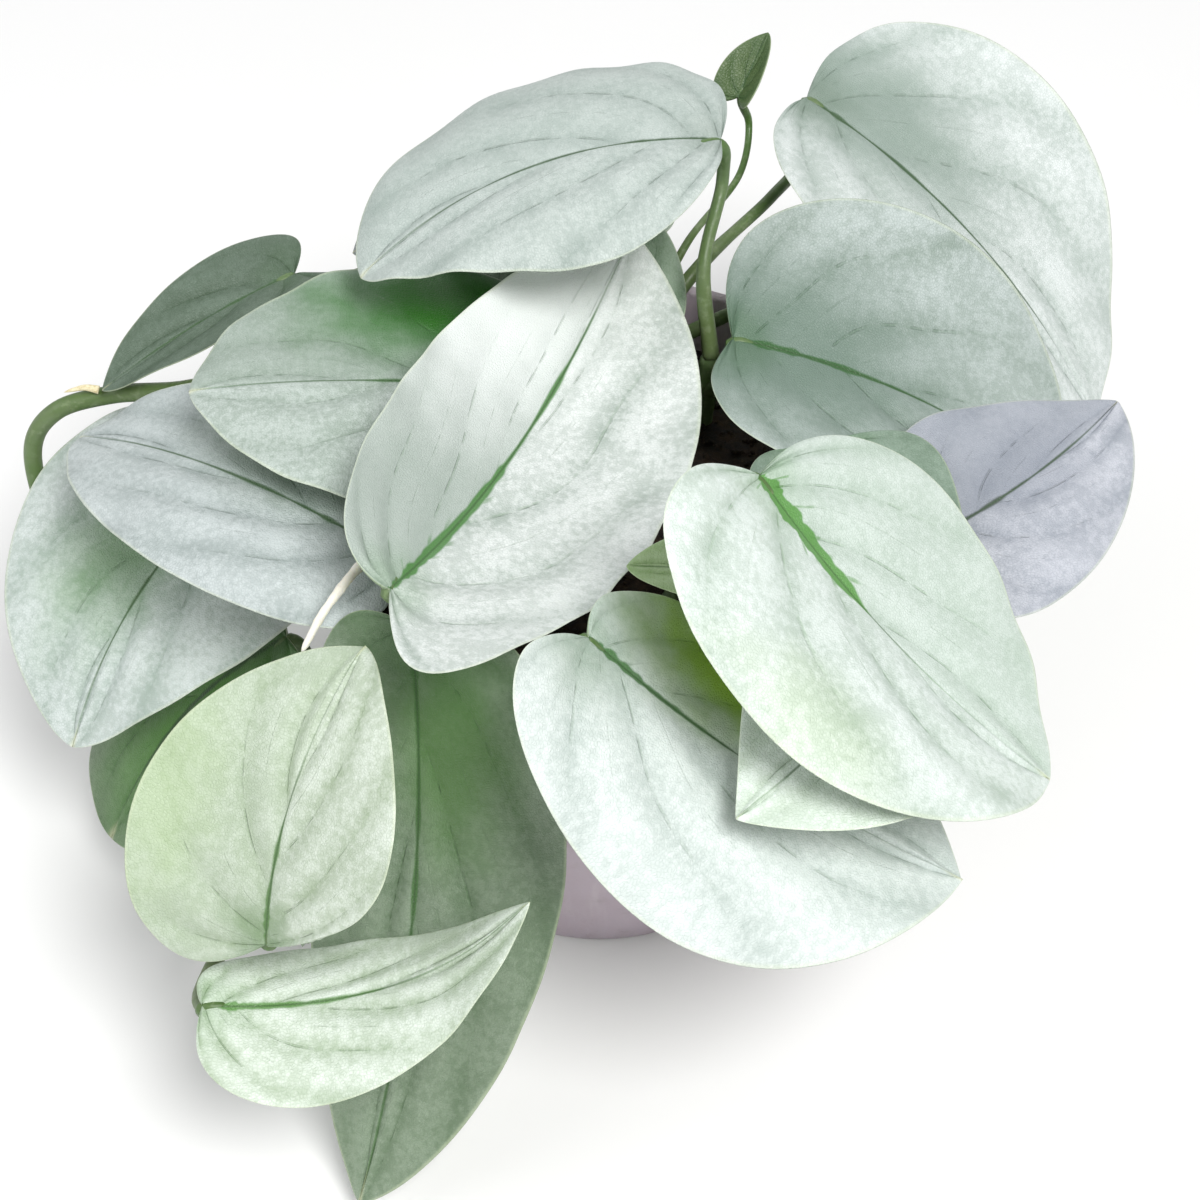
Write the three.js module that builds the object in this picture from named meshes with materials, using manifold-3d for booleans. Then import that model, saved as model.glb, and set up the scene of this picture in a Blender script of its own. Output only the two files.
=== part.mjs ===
// Potted platinum scindapsus: a nursery pot of soil, six leafy stems and twenty-five leaf blades.
// Millimetres, +Z up, origin on the pot's axis at the middle of its flat bottom.
import * as THREE from 'three';
import { mergeVertices } from 'three/addons/utils/BufferGeometryUtils.js';
import Module from 'manifold-3d';

const wasm = await Module();
wasm.setup();

// Pot
const POT_HEIGHT = 110;
const POT_BASE_RADIUS = 43;
const POT_WALL = 1.5;
const POT_FLOOR = 2.4;
const BODY_TOP_RADIUS = 61.8;
const RIM_RADIUS = 65.6;
const RIM_DEPTH = 12;
const RIM_WALL = 2.8;
const EDGE_CHAMFER = 1;
const POT_FACETS = 48;
const DRAIN_COUNT = 8;
const DRAIN_RADIUS = 4;
const DRAIN_CIRCLE = 31;
const DRAIN_FACETS = 12;

// Soil
const SOIL_LEVEL = 99;
const SOIL_MOUND = 2.5;
const SOIL_EDGE_DROP = 3;
const FIT_GAP = 0.3;
const HOLE_CLEARANCE = 0.8;
const HOLE_REACH = 20;

// Leaf blades
const BLADE_THICKNESS = 0.8;
const BLADE_ROWS = 12;
const HALF_COLUMNS = 3;
const LOBE_REACH = 0.55;
const BASE_FULLNESS = 0.35;
const TIP_SHARPNESS = 0.15;
const WIDTH_CREST = 1.02;
const RIB_SPACING = 1.7;
const CURL_POWER = 2.5;
const GROOVE_RADIUS = 2.5;
const SMALL_SHARE = 0.02;

// Stems and petioles
const STEM_SIDES = 8;
const STEM_STEP = 5;
const FEWEST_STEPS = 3;
const PETIOLE_RADIUS = 1.6;
const PETIOLE_SIDES = 6;
const PETIOLE_STEP = 6;

const MERGE_DISTANCE = 1e-4;

const COLOR = {
  pot: 0xac9fa9,
  soil: 0x39312a,
  stem: 0x6c7c55,
  sheath: 0xe6dcb4,
  shoot: 0xeeeae0,
  silver: 0xb9c4b8,
  pale: 0xd5dcc0,
  lilac: 0xc0b8c4,
  green: 0x7f9a75,
  shaded: 0x5f7a58,
};

// Centre lines: each stem rises from its hole in the soil, and one trails over the rim.
const STEMS = {
  stem_center: {
    radius: 2.3,
    path: [[22, 26, 88], [23, 25, 104], [24, 24, 121]],
  },
  stem_left: {
    radius: 2.3,
    path: [[-17, 6, 88], [-15, 9, 103], [-12, 13, 111]],
  },
  stem_front: {
    radius: 2.4,
    path: [[-12, -22, 88], [-15, -27, 104], [-20, -34, 113]],
  },
  stem_right: {
    radius: 2.4,
    path: [[20, -10, 88], [23, -13, 104], [26, -18, 117]],
  },
  stem_back: {
    radius: 2.3,
    path: [[9, 41, 88], [9, 45, 104], [8, 50, 113]],
  },
  stem_trailing: {
    radius: 2.2,
    path: [
      [-36, 9, 88], [-40, 9.4, 96], [-46, 10, 106], [-64, 12, 113.2], [-79, 26, 110], [-96, 34, 101.5],
      [-112, 38, 97], [-124, 36, 94], [-131, 35, 84], [-127, 25, 62], [-113, 10, 38],
      [-98, -14, 20], [-88, -44, 20], [-81, -64, 26],
    ],
  },
};

// A blade runs from its sinus (base) to its tip. roll lowers its left edge, fold is the V along
// the midrib in degrees, arch and bow the rise and the leftward bend of the midrib as shares of the
// length, curl the droop of the left and right margins as a share of the half width, even the
// extra share of the left half, full the fullness near the base, lobes how far the left and right
// lobes reach back past the sinus, and sharp the bluntness of the tip, least where it is pointed.
const LEAVES = [
  {
    name: 'leaf_top', tone: 'silver',
    base: [25, 41, 163], tip: [-50, 23, 141], width: 62,
    roll: 5, fold: 14, arch: 0.08, bow: -0.07, curl: [0.45, 0.35],
    even: -0.05, full: 0.2, lobes: [0.05, 0.15], sharp: 0.1,
    stem: 'stem_center', petiole: [[24, 24, 119], [22, 31, 138], [26, 44, 151]],
  },
  {
    name: 'leaf_top_behind', tone: 'lilac',
    base: [4, 73, 138], tip: [-56, 58, 122], width: 50,
    roll: 5, fold: 10, arch: 0.05,
    stem: 'stem_back', petiole: [[8, 49, 111], [7, 58, 120], [5, 70, 129]],
  },
  {
    name: 'leaf_young', tone: 'shaded',
    base: [32, 94, 140], tip: [39, 104, 151], width: 11,
    fold: 50,
    stem: 'stem_back', petiole: [[9, 46, 107], [20, 66, 119], [33, 86, 125], [35, 96, 132]],
  },
  {
    name: 'leaf_right_upper', tone: 'silver',
    base: [48, 94, 140], tip: [119, 54, 75], width: 87,
    roll: 2, fold: 5, arch: 0.1, bow: -0.02, curl: [-0.2, 0.15],
    even: 0.1, full: 0.15, lobes: [0.2, 0.1],
    stem: 'stem_back', petiole: [[9, 46, 106], [24, 62, 117], [40, 80, 122], [47, 90, 125]],
  },
  {
    name: 'leaf_right_middle', tone: 'silver',
    base: [28, 18, 129], tip: [106, 19, 82], width: 74,
    roll: -17, fold: 11, arch: 0.08, bow: 0.01, curl: [-0.15, -0.05],
    even: 0.05, full: 0.15, lobes: [0.2, 0.25], sharp: 0.05,
    stem: 'stem_center', petiole: [[23, 25, 108], [26, 20, 115], [30, 17, 120]],
  },
  {
    name: 'leaf_right_outer', tone: 'lilac',
    base: [67, -29.5, 116.5], tip: [110, 11.5, 117], width: 48,
    roll: -8, fold: 5, arch: 0.01, bow: -0.04, curl: [0.05, 0.15],
    full: 0.45, lobes: [0.05, 0.45], sharp: 0.2,
    stem: 'stem_right',
    petiole: [[22, -12, 103], [40, -24, 106], [55, -29, 113], [65, -30, 113], [72, -25, 107]],
  },
  {
    name: 'leaf_right_under', tone: 'green',
    base: [44, -15, 127], tip: [70, -53.5, 115.5], width: 38,
    fold: 5, arch: 0.04, bow: -0.04, curl: [0, 0.05],
    even: 0.05, full: 0.45, lobes: [0.1, 0.3], sharp: 0.2,
    stem: 'stem_right', petiole: [[24, -15, 111], [36, -24, 112], [44, -20, 119]],
  },
  {
    name: 'leaf_front_right', tone: 'pale',
    base: [29, -49, 150], tip: [84.5, -80, 101], width: 79,
    roll: 10, fold: 15, arch: -0.02, bow: -0.04, curl: [0, 0.3],
    even: -0.1, full: 0.15, lobes: [0.1, 0.45],
    stem: 'stem_right', petiole: [[25, -16, 115], [24, -29, 123], [27, -38, 132]],
  },
  {
    name: 'leaf_center', tone: 'silver',
    base: [-39, -58, 130], tip: [7, 46, 137], width: 66,
    roll: -28, fold: 14, arch: -0.08, bow: -0.05, curl: [-0.1, -0.3],
    even: -0.1, full: -0.05, lobes: [0.15, 0.55], sharp: 0.35,
    stem: 'stem_front', petiole: [[-18, -31, 111], [-28, -46, 113.5], [-35, -52, 121.5]],
  },
  {
    name: 'leaf_left_upper', tone: 'silver',
    base: [-15, 10, 121.5], tip: [-85, 3, 127], width: 74,
    roll: 4, fold: 3, arch: 0.03, bow: -0.01, curl: [0.1, 0],
    full: 0.2, lobes: [0.5, 0.4], sharp: 0.1,
    stem: 'stem_left', petiole: [[-13, 11, 109], [-11, 17, 112]],
  },
  {
    name: 'leaf_left_middle', tone: 'silver',
    base: [-41, -31.5, 112.5], tip: [-115.5, 21.5, 98.5], width: 59,
    roll: 5, fold: 9, arch: 0.09, bow: 0.01, curl: [0.25, 0.1],
    even: -0.05, full: 0.2, lobes: [0.3, 0.4],
    stem: 'stem_front', petiole: [[-15, -27, 104], [-30, -29, 103], [-42, -30.5, 103]],
  },
  {
    name: 'leaf_left_rear', tone: 'green',
    base: [-70.5, 62.5, 113], tip: [-112, 34, 101.5], width: 31,
    fold: 18, arch: 0.05, bow: 0.01, curl: [-0.1, 0],
    even: 0.1, lobes: [0.5, 0.45],
    stem: 'stem_trailing', petiole: [[-80, 27, 109.5], [-76, 42, 105], [-71, 58, 99]],
  },
  {
    name: 'leaf_left_outer', tone: 'silver',
    base: [-82.5, 21.5, 84.5], tip: [-116.5, -28.5, 51.5], width: 73,
    roll: 1, fold: 10, arch: 0.08, bow: -0.04, curl: [0.15, 0.1],
    even: -0.05, full: 0.45, lobes: [0.25, 0.35], sharp: 0.05,
    stem: 'stem_trailing', petiole: [[-82, 28, 108], [-80, 35, 99], [-82, 32, 89], [-84, 27, 78]],
  },
  {
    name: 'leaf_left_shaded', tone: 'shaded',
    base: [-68.5, -15, 72.5], tip: [-113, -28.5, 19.5], width: 62,
    roll: 15, fold: 6, arch: 0.02, bow: -0.09, curl: [0, 0.3],
    full: -0.05, lobes: [0.3, 0.1], sharp: 0.05,
    stem: 'stem_trailing', petiole: [[-94, -26, 20.5], [-80, -24, 34], [-69, -18, 50], [-64, -15, 64]],
  },
  {
    name: 'leaf_front_left', tone: 'pale',
    base: [-63, -101, 78], tip: [-44, -63, 120], width: 62,
    roll: 18, fold: 8, arch: 0.09, bow: 0.01, curl: [-0.25, 0.05],
    full: 0.25, lobes: [0.5, -0.2], sharp: 0.2,
    stem: 'stem_trailing', petiole: [[-82, -61, 25], [-77, -65, 46], [-71, -76, 66], [-65, -95, 73]],
  },
  {
    name: 'leaf_front_left_low', tone: 'pale',
    base: [-77, -103, 61], tip: [-13, -100, 90], width: 31,
    roll: -14, arch: -0.16, bow: -0.04, curl: [0.25, 0.05],
    even: -0.25, full: 0.5, lobes: [0.15, 0.1], sharp: 0.2,
    stem: 'stem_trailing', petiole: [[-82, -63, 26], [-84, -82, 33], [-76, -98, 50]],
  },
  {
    name: 'leaf_front_hanging', tone: 'green',
    base: [-36, -55, 117], tip: [-50, -115, 7], width: 60,
    roll: -11, arch: -0.04, bow: 0.03,
    even: 0.1, full: 0.25, lobes: [0.15, 0.15], sharp: 0.2,
    stem: 'stem_front', petiole: [[-17, -29, 108], [-28, -42, 113], [-35, -49, 113]],
  },
  {
    name: 'leaf_front_large', tone: 'silver',
    base: [-2, -73, 132.5], tip: [69, -90.5, 84.5], width: 68,
    roll: -2, fold: 7, arch: -0.06, curl: [0, 0.5],
    even: -0.15, full: -0.2, lobes: [0.15, 0.5], sharp: 0.4,
    stem: 'stem_right', petiole: [[21, -11, 104], [14, -36, 106], [3, -56, 114], [-2, -67, 117]],
  },
  {
    name: 'leaf_front_right_low', tone: 'pale',
    base: [47.5, -75.5, 116.5], tip: [24, -100.5, 115], width: 41,
    fold: 3, arch: 0.06, bow: 0.04,
    even: 0.1, full: 0.6, lobes: [0.55, 0.5], sharp: 0.25,
    roll: 10,
    stem: 'stem_right',
    petiole: [[22, -12, 103], [32, -38, 110], [39, -52, 115], [43, -66, 114.5], [45, -76, 113]],
  },
  {
    name: 'leaf_small', tone: 'pale',
    base: [26, -49, 126], tip: [5, -48, 126], width: 19,
    fold: 10,
    stem: 'stem_right', petiole: [[22, -12, 103], [26, -33, 107], [27, -46, 115]],
  },
  {
    name: 'leaf_inner_rear', tone: 'green',
    base: [4, 29.5, 124], tip: [2, 68.5, 132.5], width: 30,
    fold: 10,
    stem: 'stem_center', petiole: [[23, 24, 112], [15, 23, 112], [8, 25, 117]],
  },
  {
    name: 'leaf_rear_shaded', tone: 'shaded',
    base: [-25, 52.5, 113], tip: [-68.5, 66.5, 104], width: 34,
    fold: 10,
    stem: 'stem_left', petiole: [[-15, 10, 103], [-18, 32, 105], [-23, 46, 107]],
  },
  {
    name: 'leaf_back_middle', tone: 'green',
    base: [-4, 76, 113], tip: [-14, 136, 68], width: 48,
    fold: 10, arch: 0.08,
    stem: 'stem_back', petiole: [[9, 45, 104], [3, 58, 114], [-2, 68, 112], [-4, 73, 107]],
  },
  {
    name: 'leaf_back_right', tone: 'silver',
    base: [56, 62, 110], tip: [100, 102, 64], width: 46,
    fold: 10, arch: 0.08,
    stem: 'stem_back', petiole: [[9, 44, 103], [24, 46, 111], [38, 50, 115], [50, 58, 110], [56, 63, 102]],
  },
  {
    name: 'leaf_back_left', tone: 'silver',
    base: [-56, 70, 92], tip: [-88, 114, 50], width: 44,
    fold: 10, arch: 0.08,
    stem: 'stem_trailing', petiole: [[-78, 25, 110.5], [-66, 46, 98], [-57, 64, 85]],
  },
];

const WHITE_SHOOT = {
  radius: 1.1,
  path: [[-20.6, -34.7, 114.1], [-31, -33.5, 119], [-43, -38, 120.5], [-52, -50, 118], [-57, -58, 113]],
};
const SHEATH = {
  radius: 0.9,
  base: [-114.5, 36.6, 99.8],
  tip: [-121.5, 36.6, 99],
};

const group = new THREE.Group();

// Adds one named piece with its own colour.
function addPart(name, geometry, color, roughness) {
  const material = new THREE.MeshStandardMaterial({ color, roughness, metalness: 0 });
  const mesh = new THREE.Mesh(geometry, material);
  mesh.name = name;
  group.add(mesh);
}

// Turns a closed geometry into a solid that can be joined and cut.
function toSolid(geometry) {
  const bare = geometry.clone();
  bare.deleteAttribute('normal');
  bare.deleteAttribute('uv');
  const merged = mergeVertices(bare, MERGE_DISTANCE);
  return new wasm.Manifold(new wasm.Mesh({
    numProp: 3,
    vertProperties: new Float32Array(merged.attributes.position.array),
    triVerts: new Uint32Array(merged.index.array),
  }));
}

// Turns a solid back into a geometry.
function toGeometry(solid) {
  const mesh = solid.getMesh();
  const geometry = new THREE.BufferGeometry();
  const positions = new Float32Array(mesh.numVert * 3);
  for (let i = 0; i < mesh.numVert; i++) {
    for (let k = 0; k < 3; k++) {
      positions[3 * i + k] = mesh.vertProperties[mesh.numProp * i + k];
    }
  }
  geometry.setAttribute('position', new THREE.BufferAttribute(positions, 3));
  geometry.setIndex(new THREE.BufferAttribute(new Uint32Array(mesh.triVerts), 1));
  geometry.computeVertexNormals();
  return geometry;
}

function toPoint(values) {
  return new THREE.Vector3(values[0], values[1], values[2]);
}

function revolve(profile, facets) {
  const points = profile.map(([radius, height]) => new THREE.Vector2(radius, height));
  const geometry = new THREE.LatheGeometry(points, facets);
  geometry.rotateX(Math.PI / 2);
  return geometry;
}

// A round bar along a smooth curve through the given points.
function bar(points, radius, sides, step) {
  const curve = new THREE.CatmullRomCurve3(points, false, 'centripetal');
  const outline = [];
  for (let k = 0; k < sides; k++) {
    const angle = (2 * Math.PI * k) / sides;
    outline.push(new THREE.Vector2(radius * Math.cos(angle), radius * Math.sin(angle)));
  }
  const steps = Math.max(FEWEST_STEPS, Math.round(curve.getLength() / step));
  return new THREE.ExtrudeGeometry(new THREE.Shape(outline), {
    steps,
    bevelEnabled: false,
    extrudePath: curve,
  });
}

// Heart-shaped outline: t runs from the sinus (0) to the tip (1), side is +1 left and -1 right.
// The result is the share of the length along the midrib and of the half width across it.
function marginPoint(leaf, t, side) {
  const lobes = leaf.lobes ?? [LOBE_REACH, LOBE_REACH];
  const lobe = side > 0 ? lobes[0] : lobes[1];
  const full = leaf.full ?? BASE_FULLNESS;
  const angle = Math.PI * t;
  const ahead = (1 - Math.cos(angle)) / 2;
  const along = ahead - lobe * Math.sin(angle) * ((1 + Math.cos(angle)) / 2) ** 3;
  const taper = Math.sqrt(Math.max(1 - ahead, 0));
  const sharp = leaf.sharp ?? TIP_SHARPNESS;
  const point = (taper * (1 + sharp)) / (taper + sharp) / WIDTH_CREST;
  const evenness = 1 + (leaf.even ?? 0) * side;
  const across = Math.sin(angle) * (1 + full * Math.cos(angle)) * point * evenness;
  return [along, across * side];
}

// Axes of a leaf: chord from sinus to tip, left side, and upper face, turned by its roll.
function leafAxes(leaf) {
  const base = toPoint(leaf.base);
  const chord = toPoint(leaf.tip).sub(base);
  const length = chord.length();
  chord.normalize();
  const face = new THREE.Vector3(0, 0, 1);
  face.addScaledVector(chord, -face.dot(chord)).normalize();
  face.applyAxisAngle(chord, -THREE.MathUtils.degToRad(leaf.roll ?? 0));
  const left = new THREE.Vector3().crossVectors(face, chord);
  return { base, chord, left, face, length };
}

// Bends a flat point of the blade onto the arched midrib, with its fold and its drooping margin.
function bladePoint(leaf, axes, along, across) {
  const arch = leaf.arch ?? 0;
  const onRib = Math.min(Math.max(along, 0), 1);
  const beyond = (along - onRib) * axes.length;
  const slope = 4 * arch * (1 - 2 * onRib);
  const stretch = Math.hypot(1, slope);
  const bow = 4 * (leaf.bow ?? 0);
  const tangent = axes.chord.clone()
    .addScaledVector(axes.face, slope)
    .addScaledVector(axes.left, bow * (1 - 2 * onRib))
    .normalize();
  const normal = axes.face.clone().addScaledVector(axes.chord, -slope).divideScalar(stretch);
  const sideways = normal.clone().cross(tangent);
  const halfWidth = leaf.width / 2;
  const offset = across * halfWidth;
  const groove = Math.hypot(offset, GROOVE_RADIUS) - GROOVE_RADIUS;
  const curl = (leaf.curl ?? [0, 0])[across > 0 ? 0 : 1];
  const rise = Math.tan(THREE.MathUtils.degToRad(leaf.fold ?? 0)) * groove
    - curl * halfWidth * Math.abs(across) ** CURL_POWER;
  return axes.base.clone()
    .addScaledVector(axes.chord, onRib * axes.length)
    .addScaledVector(axes.face, 4 * arch * onRib * (1 - onRib) * axes.length)
    .addScaledVector(axes.left, bow * onRib * (1 - onRib) * axes.length)
    .addScaledVector(tangent, beyond)
    .addScaledVector(sideways, offset)
    .addScaledVector(normal, rise);
}

// Middle surface of a blade: rows follow its side veins from midrib to margin.
function bladeSurface(leaf) {
  const axes = leafAxes(leaf);
  const points = [bladePoint(leaf, axes, 0, 0)];
  const columns = 2 * HALF_COLUMNS + 1;
  for (let row = 1; row < BLADE_ROWS; row++) {
    const t = row / BLADE_ROWS;
    const onRib = t ** RIB_SPACING;
    for (let column = -HALF_COLUMNS; column <= HALF_COLUMNS; column++) {
      const share = Math.abs(column) / HALF_COLUMNS;
      const [along, across] = marginPoint(leaf, t, column < 0 ? -1 : 1);
      points.push(bladePoint(leaf, axes, onRib + (along - onRib) * share, across * share));
    }
  }
  points.push(bladePoint(leaf, axes, 1, 0));
  const faces = [];
  const at = (row, column) => 1 + (row - 1) * columns + column;
  const last = points.length - 1;
  for (let column = 0; column < columns - 1; column++) {
    faces.push([0, at(1, column), at(1, column + 1)]);
    for (let row = 1; row < BLADE_ROWS - 1; row++) {
      faces.push([at(row, column), at(row + 1, column), at(row + 1, column + 1)]);
      faces.push([at(row, column), at(row + 1, column + 1), at(row, column + 1)]);
    }
    faces.push([at(BLADE_ROWS - 1, column), last, at(BLADE_ROWS - 1, column + 1)]);
  }
  const rim = [0];
  for (let row = 1; row < BLADE_ROWS; row++) {
    rim.push(at(row, 0));
  }
  rim.push(last);
  for (let row = BLADE_ROWS - 1; row > 0; row--) {
    rim.push(at(row, columns - 1));
  }
  return { points, faces, rim };
}

// Gives the middle surface its thickness: both faces carry the same triangles.
function bladeGeometry(leaf) {
  const { points, faces, rim } = bladeSurface(leaf);
  const normals = points.map(() => new THREE.Vector3());
  for (const [a, b, c] of faces) {
    const first = points[b].clone().sub(points[a]);
    const second = points[c].clone().sub(points[a]);
    const normal = first.cross(second);
    for (const corner of [a, b, c]) {
      normals[corner].add(normal);
    }
  }
  normals.forEach((normal) => normal.normalize());
  const count = points.length;
  const positions = [];
  for (const side of [1, -1]) {
    for (let i = 0; i < count; i++) {
      const p = points[i].clone().addScaledVector(normals[i], (side * BLADE_THICKNESS) / 2);
      positions.push(p.x, p.y, p.z);
    }
  }
  const index = [];
  for (const [a, b, c] of faces) {
    index.push(a, b, c);
    index.push(a + count, c + count, b + count);
  }
  for (let i = 0; i < rim.length; i++) {
    const here = rim[i];
    const next = rim[(i + 1) % rim.length];
    index.push(next, here, here + count);
    index.push(next, here + count, next + count);
  }
  const geometry = new THREE.BufferGeometry();
  geometry.setAttribute('position', new THREE.Float32BufferAttribute(positions, 3));
  geometry.setIndex(index);
  geometry.computeVertexNormals();
  return geometry;
}

// A petiole leaves its stem and stops just under the sinus of its blade.
function petioleGeometry(leaf) {
  const axes = leafAxes(leaf);
  const sinus = bladePoint(leaf, axes, 0, 0);
  const ahead = bladePoint(leaf, axes, SMALL_SHARE, 0).sub(sinus).normalize();
  const normal = new THREE.Vector3().crossVectors(ahead, axes.left).normalize();
  const points = leaf.petiole.map(toPoint);
  const approach = sinus.clone().sub(points[points.length - 1]).normalize();
  const upright = Math.abs(approach.dot(normal));
  const tilt = Math.sqrt(1 - upright * upright);
  const clearance = BLADE_THICKNESS / 2 + FIT_GAP + PETIOLE_RADIUS * tilt;
  points.push(sinus.clone().addScaledVector(approach, -clearance / upright));
  return bar(points, PETIOLE_RADIUS, PETIOLE_SIDES, PETIOLE_STEP);
}

// Moulded pot: conical wall, flat floor with a ring of drainage holes, and a thicker rim.
function makePot() {
  const shoulder = POT_HEIGHT - RIM_DEPTH;
  const profile = [
    [0, 0],
    [POT_BASE_RADIUS - EDGE_CHAMFER, 0],
    [POT_BASE_RADIUS, EDGE_CHAMFER],
    [BODY_TOP_RADIUS, shoulder],
    [RIM_RADIUS - EDGE_CHAMFER, shoulder],
    [RIM_RADIUS, shoulder + EDGE_CHAMFER],
    [RIM_RADIUS, POT_HEIGHT - EDGE_CHAMFER],
    [RIM_RADIUS - EDGE_CHAMFER, POT_HEIGHT],
    [RIM_RADIUS - RIM_WALL + EDGE_CHAMFER, POT_HEIGHT],
    [RIM_RADIUS - RIM_WALL, POT_HEIGHT - EDGE_CHAMFER],
    [innerRadius(shoulder), shoulder],
    [innerRadius(POT_FLOOR), POT_FLOOR],
    [0, POT_FLOOR],
  ];
  let solid = toSolid(revolve(profile, POT_FACETS));
  for (let k = 0; k < DRAIN_COUNT; k++) {
    const angle = (2 * Math.PI * (k + 0.5)) / DRAIN_COUNT;
    const drain = new THREE.CylinderGeometry(DRAIN_RADIUS, DRAIN_RADIUS, 4 * POT_FLOOR, DRAIN_FACETS);
    drain.rotateX(Math.PI / 2);
    drain.translate(DRAIN_CIRCLE * Math.cos(angle), DRAIN_CIRCLE * Math.sin(angle), 0);
    solid = solid.subtract(toSolid(drain));
  }
  addPart('pot', toGeometry(solid), COLOR.pot, 0.55);
}

// Radius of the inside of the pot's conical wall at a height.
function innerRadius(height) {
  const share = height / (POT_HEIGHT - RIM_DEPTH);
  return POT_BASE_RADIUS + (BODY_TOP_RADIUS - POT_BASE_RADIUS) * share - POT_WALL;
}

// Potting soil: fills the pot to just below its rim, mounded, with a plain hole for every stem.
function makeSoil() {
  const bottom = POT_FLOOR + FIT_GAP;
  const edge = SOIL_LEVEL - SOIL_EDGE_DROP;
  const edgeRadius = innerRadius(edge) - 2 * FIT_GAP;
  const profile = [
    [0, bottom],
    [innerRadius(bottom) - 2 * FIT_GAP, bottom],
    [edgeRadius, edge],
    [edgeRadius * 0.93, SOIL_LEVEL - 1],
    [edgeRadius * 0.72, SOIL_LEVEL + 0.6],
    [edgeRadius * 0.5, SOIL_LEVEL + 0.2],
    [edgeRadius * 0.3, SOIL_LEVEL + SOIL_MOUND * 0.7],
    [0, SOIL_LEVEL + SOIL_MOUND],
  ];
  let solid = toSolid(revolve(profile, POT_FACETS));
  for (const stem of Object.values(STEMS)) {
    const [low, next] = stem.path.map(toPoint);
    const upward = next.clone().sub(low).normalize();
    const foot = low.clone().addScaledVector(upward, -HOLE_CLEARANCE);
    const mouth = low.clone().addScaledVector(upward, HOLE_REACH);
    const hole = bar([foot, mouth], stem.radius + HOLE_CLEARANCE, STEM_SIDES, HOLE_REACH);
    solid = solid.subtract(toSolid(hole));
  }
  addPart('soil', toGeometry(solid), COLOR.soil, 0.95);
}

// Each stem and the petioles that grow from it are one body.
function makeStems() {
  for (const [name, stem] of Object.entries(STEMS)) {
    let solid = toSolid(bar(stem.path.map(toPoint), stem.radius, STEM_SIDES, STEM_STEP));
    for (const leaf of LEAVES) {
      if (leaf.stem === name) {
        solid = solid.add(toSolid(petioleGeometry(leaf)));
      }
    }
    addPart(name, toGeometry(solid), COLOR.stem, 0.5);
  }
}

// Thin white aerial shoot that springs from the top of the front stem.
function makeShoot() {
  const shoot = bar(WHITE_SHOOT.path.map(toPoint), WHITE_SHOOT.radius, PETIOLE_SIDES, PETIOLE_STEP);
  addPart('shoot_white', toGeometry(toSolid(shoot)), COLOR.shoot, 0.5);
}

// Dry cream sheath that points away from a node of the trailing stem.
function makeSheath() {
  const base = toPoint(SHEATH.base);
  const axis = toPoint(SHEATH.tip).sub(base);
  const length = axis.length();
  const cone = new THREE.ConeGeometry(SHEATH.radius, length, PETIOLE_SIDES);
  cone.translate(0, length / 2, 0);
  const turn = new THREE.Quaternion().setFromUnitVectors(new THREE.Vector3(0, 1, 0), axis.normalize());
  cone.applyQuaternion(turn);
  cone.translate(base.x, base.y, base.z);
  addPart('sheath', toGeometry(toSolid(cone)), COLOR.sheath, 0.6);
}

makePot();
makeSoil();
makeStems();
makeShoot();
makeSheath();
for (const leaf of LEAVES) {
  addPart(leaf.name, bladeGeometry(leaf), COLOR[leaf.tone], 0.45);
}

export default group;
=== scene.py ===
import math
import random

import bmesh
import bpy
import numpy as np
from mathutils import Matrix, Vector, noise


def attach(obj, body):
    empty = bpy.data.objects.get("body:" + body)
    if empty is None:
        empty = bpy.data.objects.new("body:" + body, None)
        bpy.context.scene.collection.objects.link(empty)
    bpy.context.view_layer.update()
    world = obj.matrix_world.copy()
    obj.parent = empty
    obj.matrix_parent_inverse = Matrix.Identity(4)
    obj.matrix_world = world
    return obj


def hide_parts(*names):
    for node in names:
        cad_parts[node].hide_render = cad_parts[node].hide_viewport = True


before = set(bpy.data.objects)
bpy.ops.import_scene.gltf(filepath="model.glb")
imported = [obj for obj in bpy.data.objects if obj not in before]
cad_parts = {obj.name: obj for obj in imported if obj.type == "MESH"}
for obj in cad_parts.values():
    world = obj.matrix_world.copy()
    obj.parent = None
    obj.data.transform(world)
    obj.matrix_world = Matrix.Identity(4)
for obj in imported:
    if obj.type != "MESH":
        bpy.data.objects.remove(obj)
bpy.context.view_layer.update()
MM = 0.001


# Nursery pot: one thin moulded plastic cone with a thicker rim and a ring of drainage holes in
# its flat floor. Satin mauve-grey, a little dusty inside and scuffed along the rim and the foot.
POT_HEIGHT = 110
POT_FOOT_RADIUS = 43
POT_SHOULDER = 98
POT_BODY_TOP_RADIUS = 61.8
POT_RIM_RADIUS = 65.6
POT_RIM_WALL = 2.8
POT_WALL = 1.5
POT_FLOOR = 2.4
POT_CORNER_ROUNDING = 0.6
POT_STEPS = 96
DRAIN_COUNT = 8
DRAIN_RADIUS = 4
DRAIN_CIRCLE = 31
DRAIN_RINGS = (35, 33, 31, 29, 27)


def pot_inside(height):
    return POT_FOOT_RADIUS + (POT_BODY_TOP_RADIUS - POT_FOOT_RADIUS) * height / POT_SHOULDER - POT_WALL


def turn_profile(bm, profile, steps):
    """Spins a line of (radius, height) points in millimetres once round the upright axis."""
    verts = [bm.verts.new((radius * MM, 0, height * MM)) for radius, height in profile]
    edges = [bm.edges.new(pair) for pair in zip(verts, verts[1:])]
    bmesh.ops.spin(bm, geom=verts + edges, axis=(0, 0, 1), cent=(0, 0, 0), angle=2 * math.pi,
                   steps=steps, use_merge=True)
    bmesh.ops.remove_doubles(bm, verts=bm.verts, dist=1e-6)
    bmesh.ops.recalc_face_normals(bm, faces=bm.faces)


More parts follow.
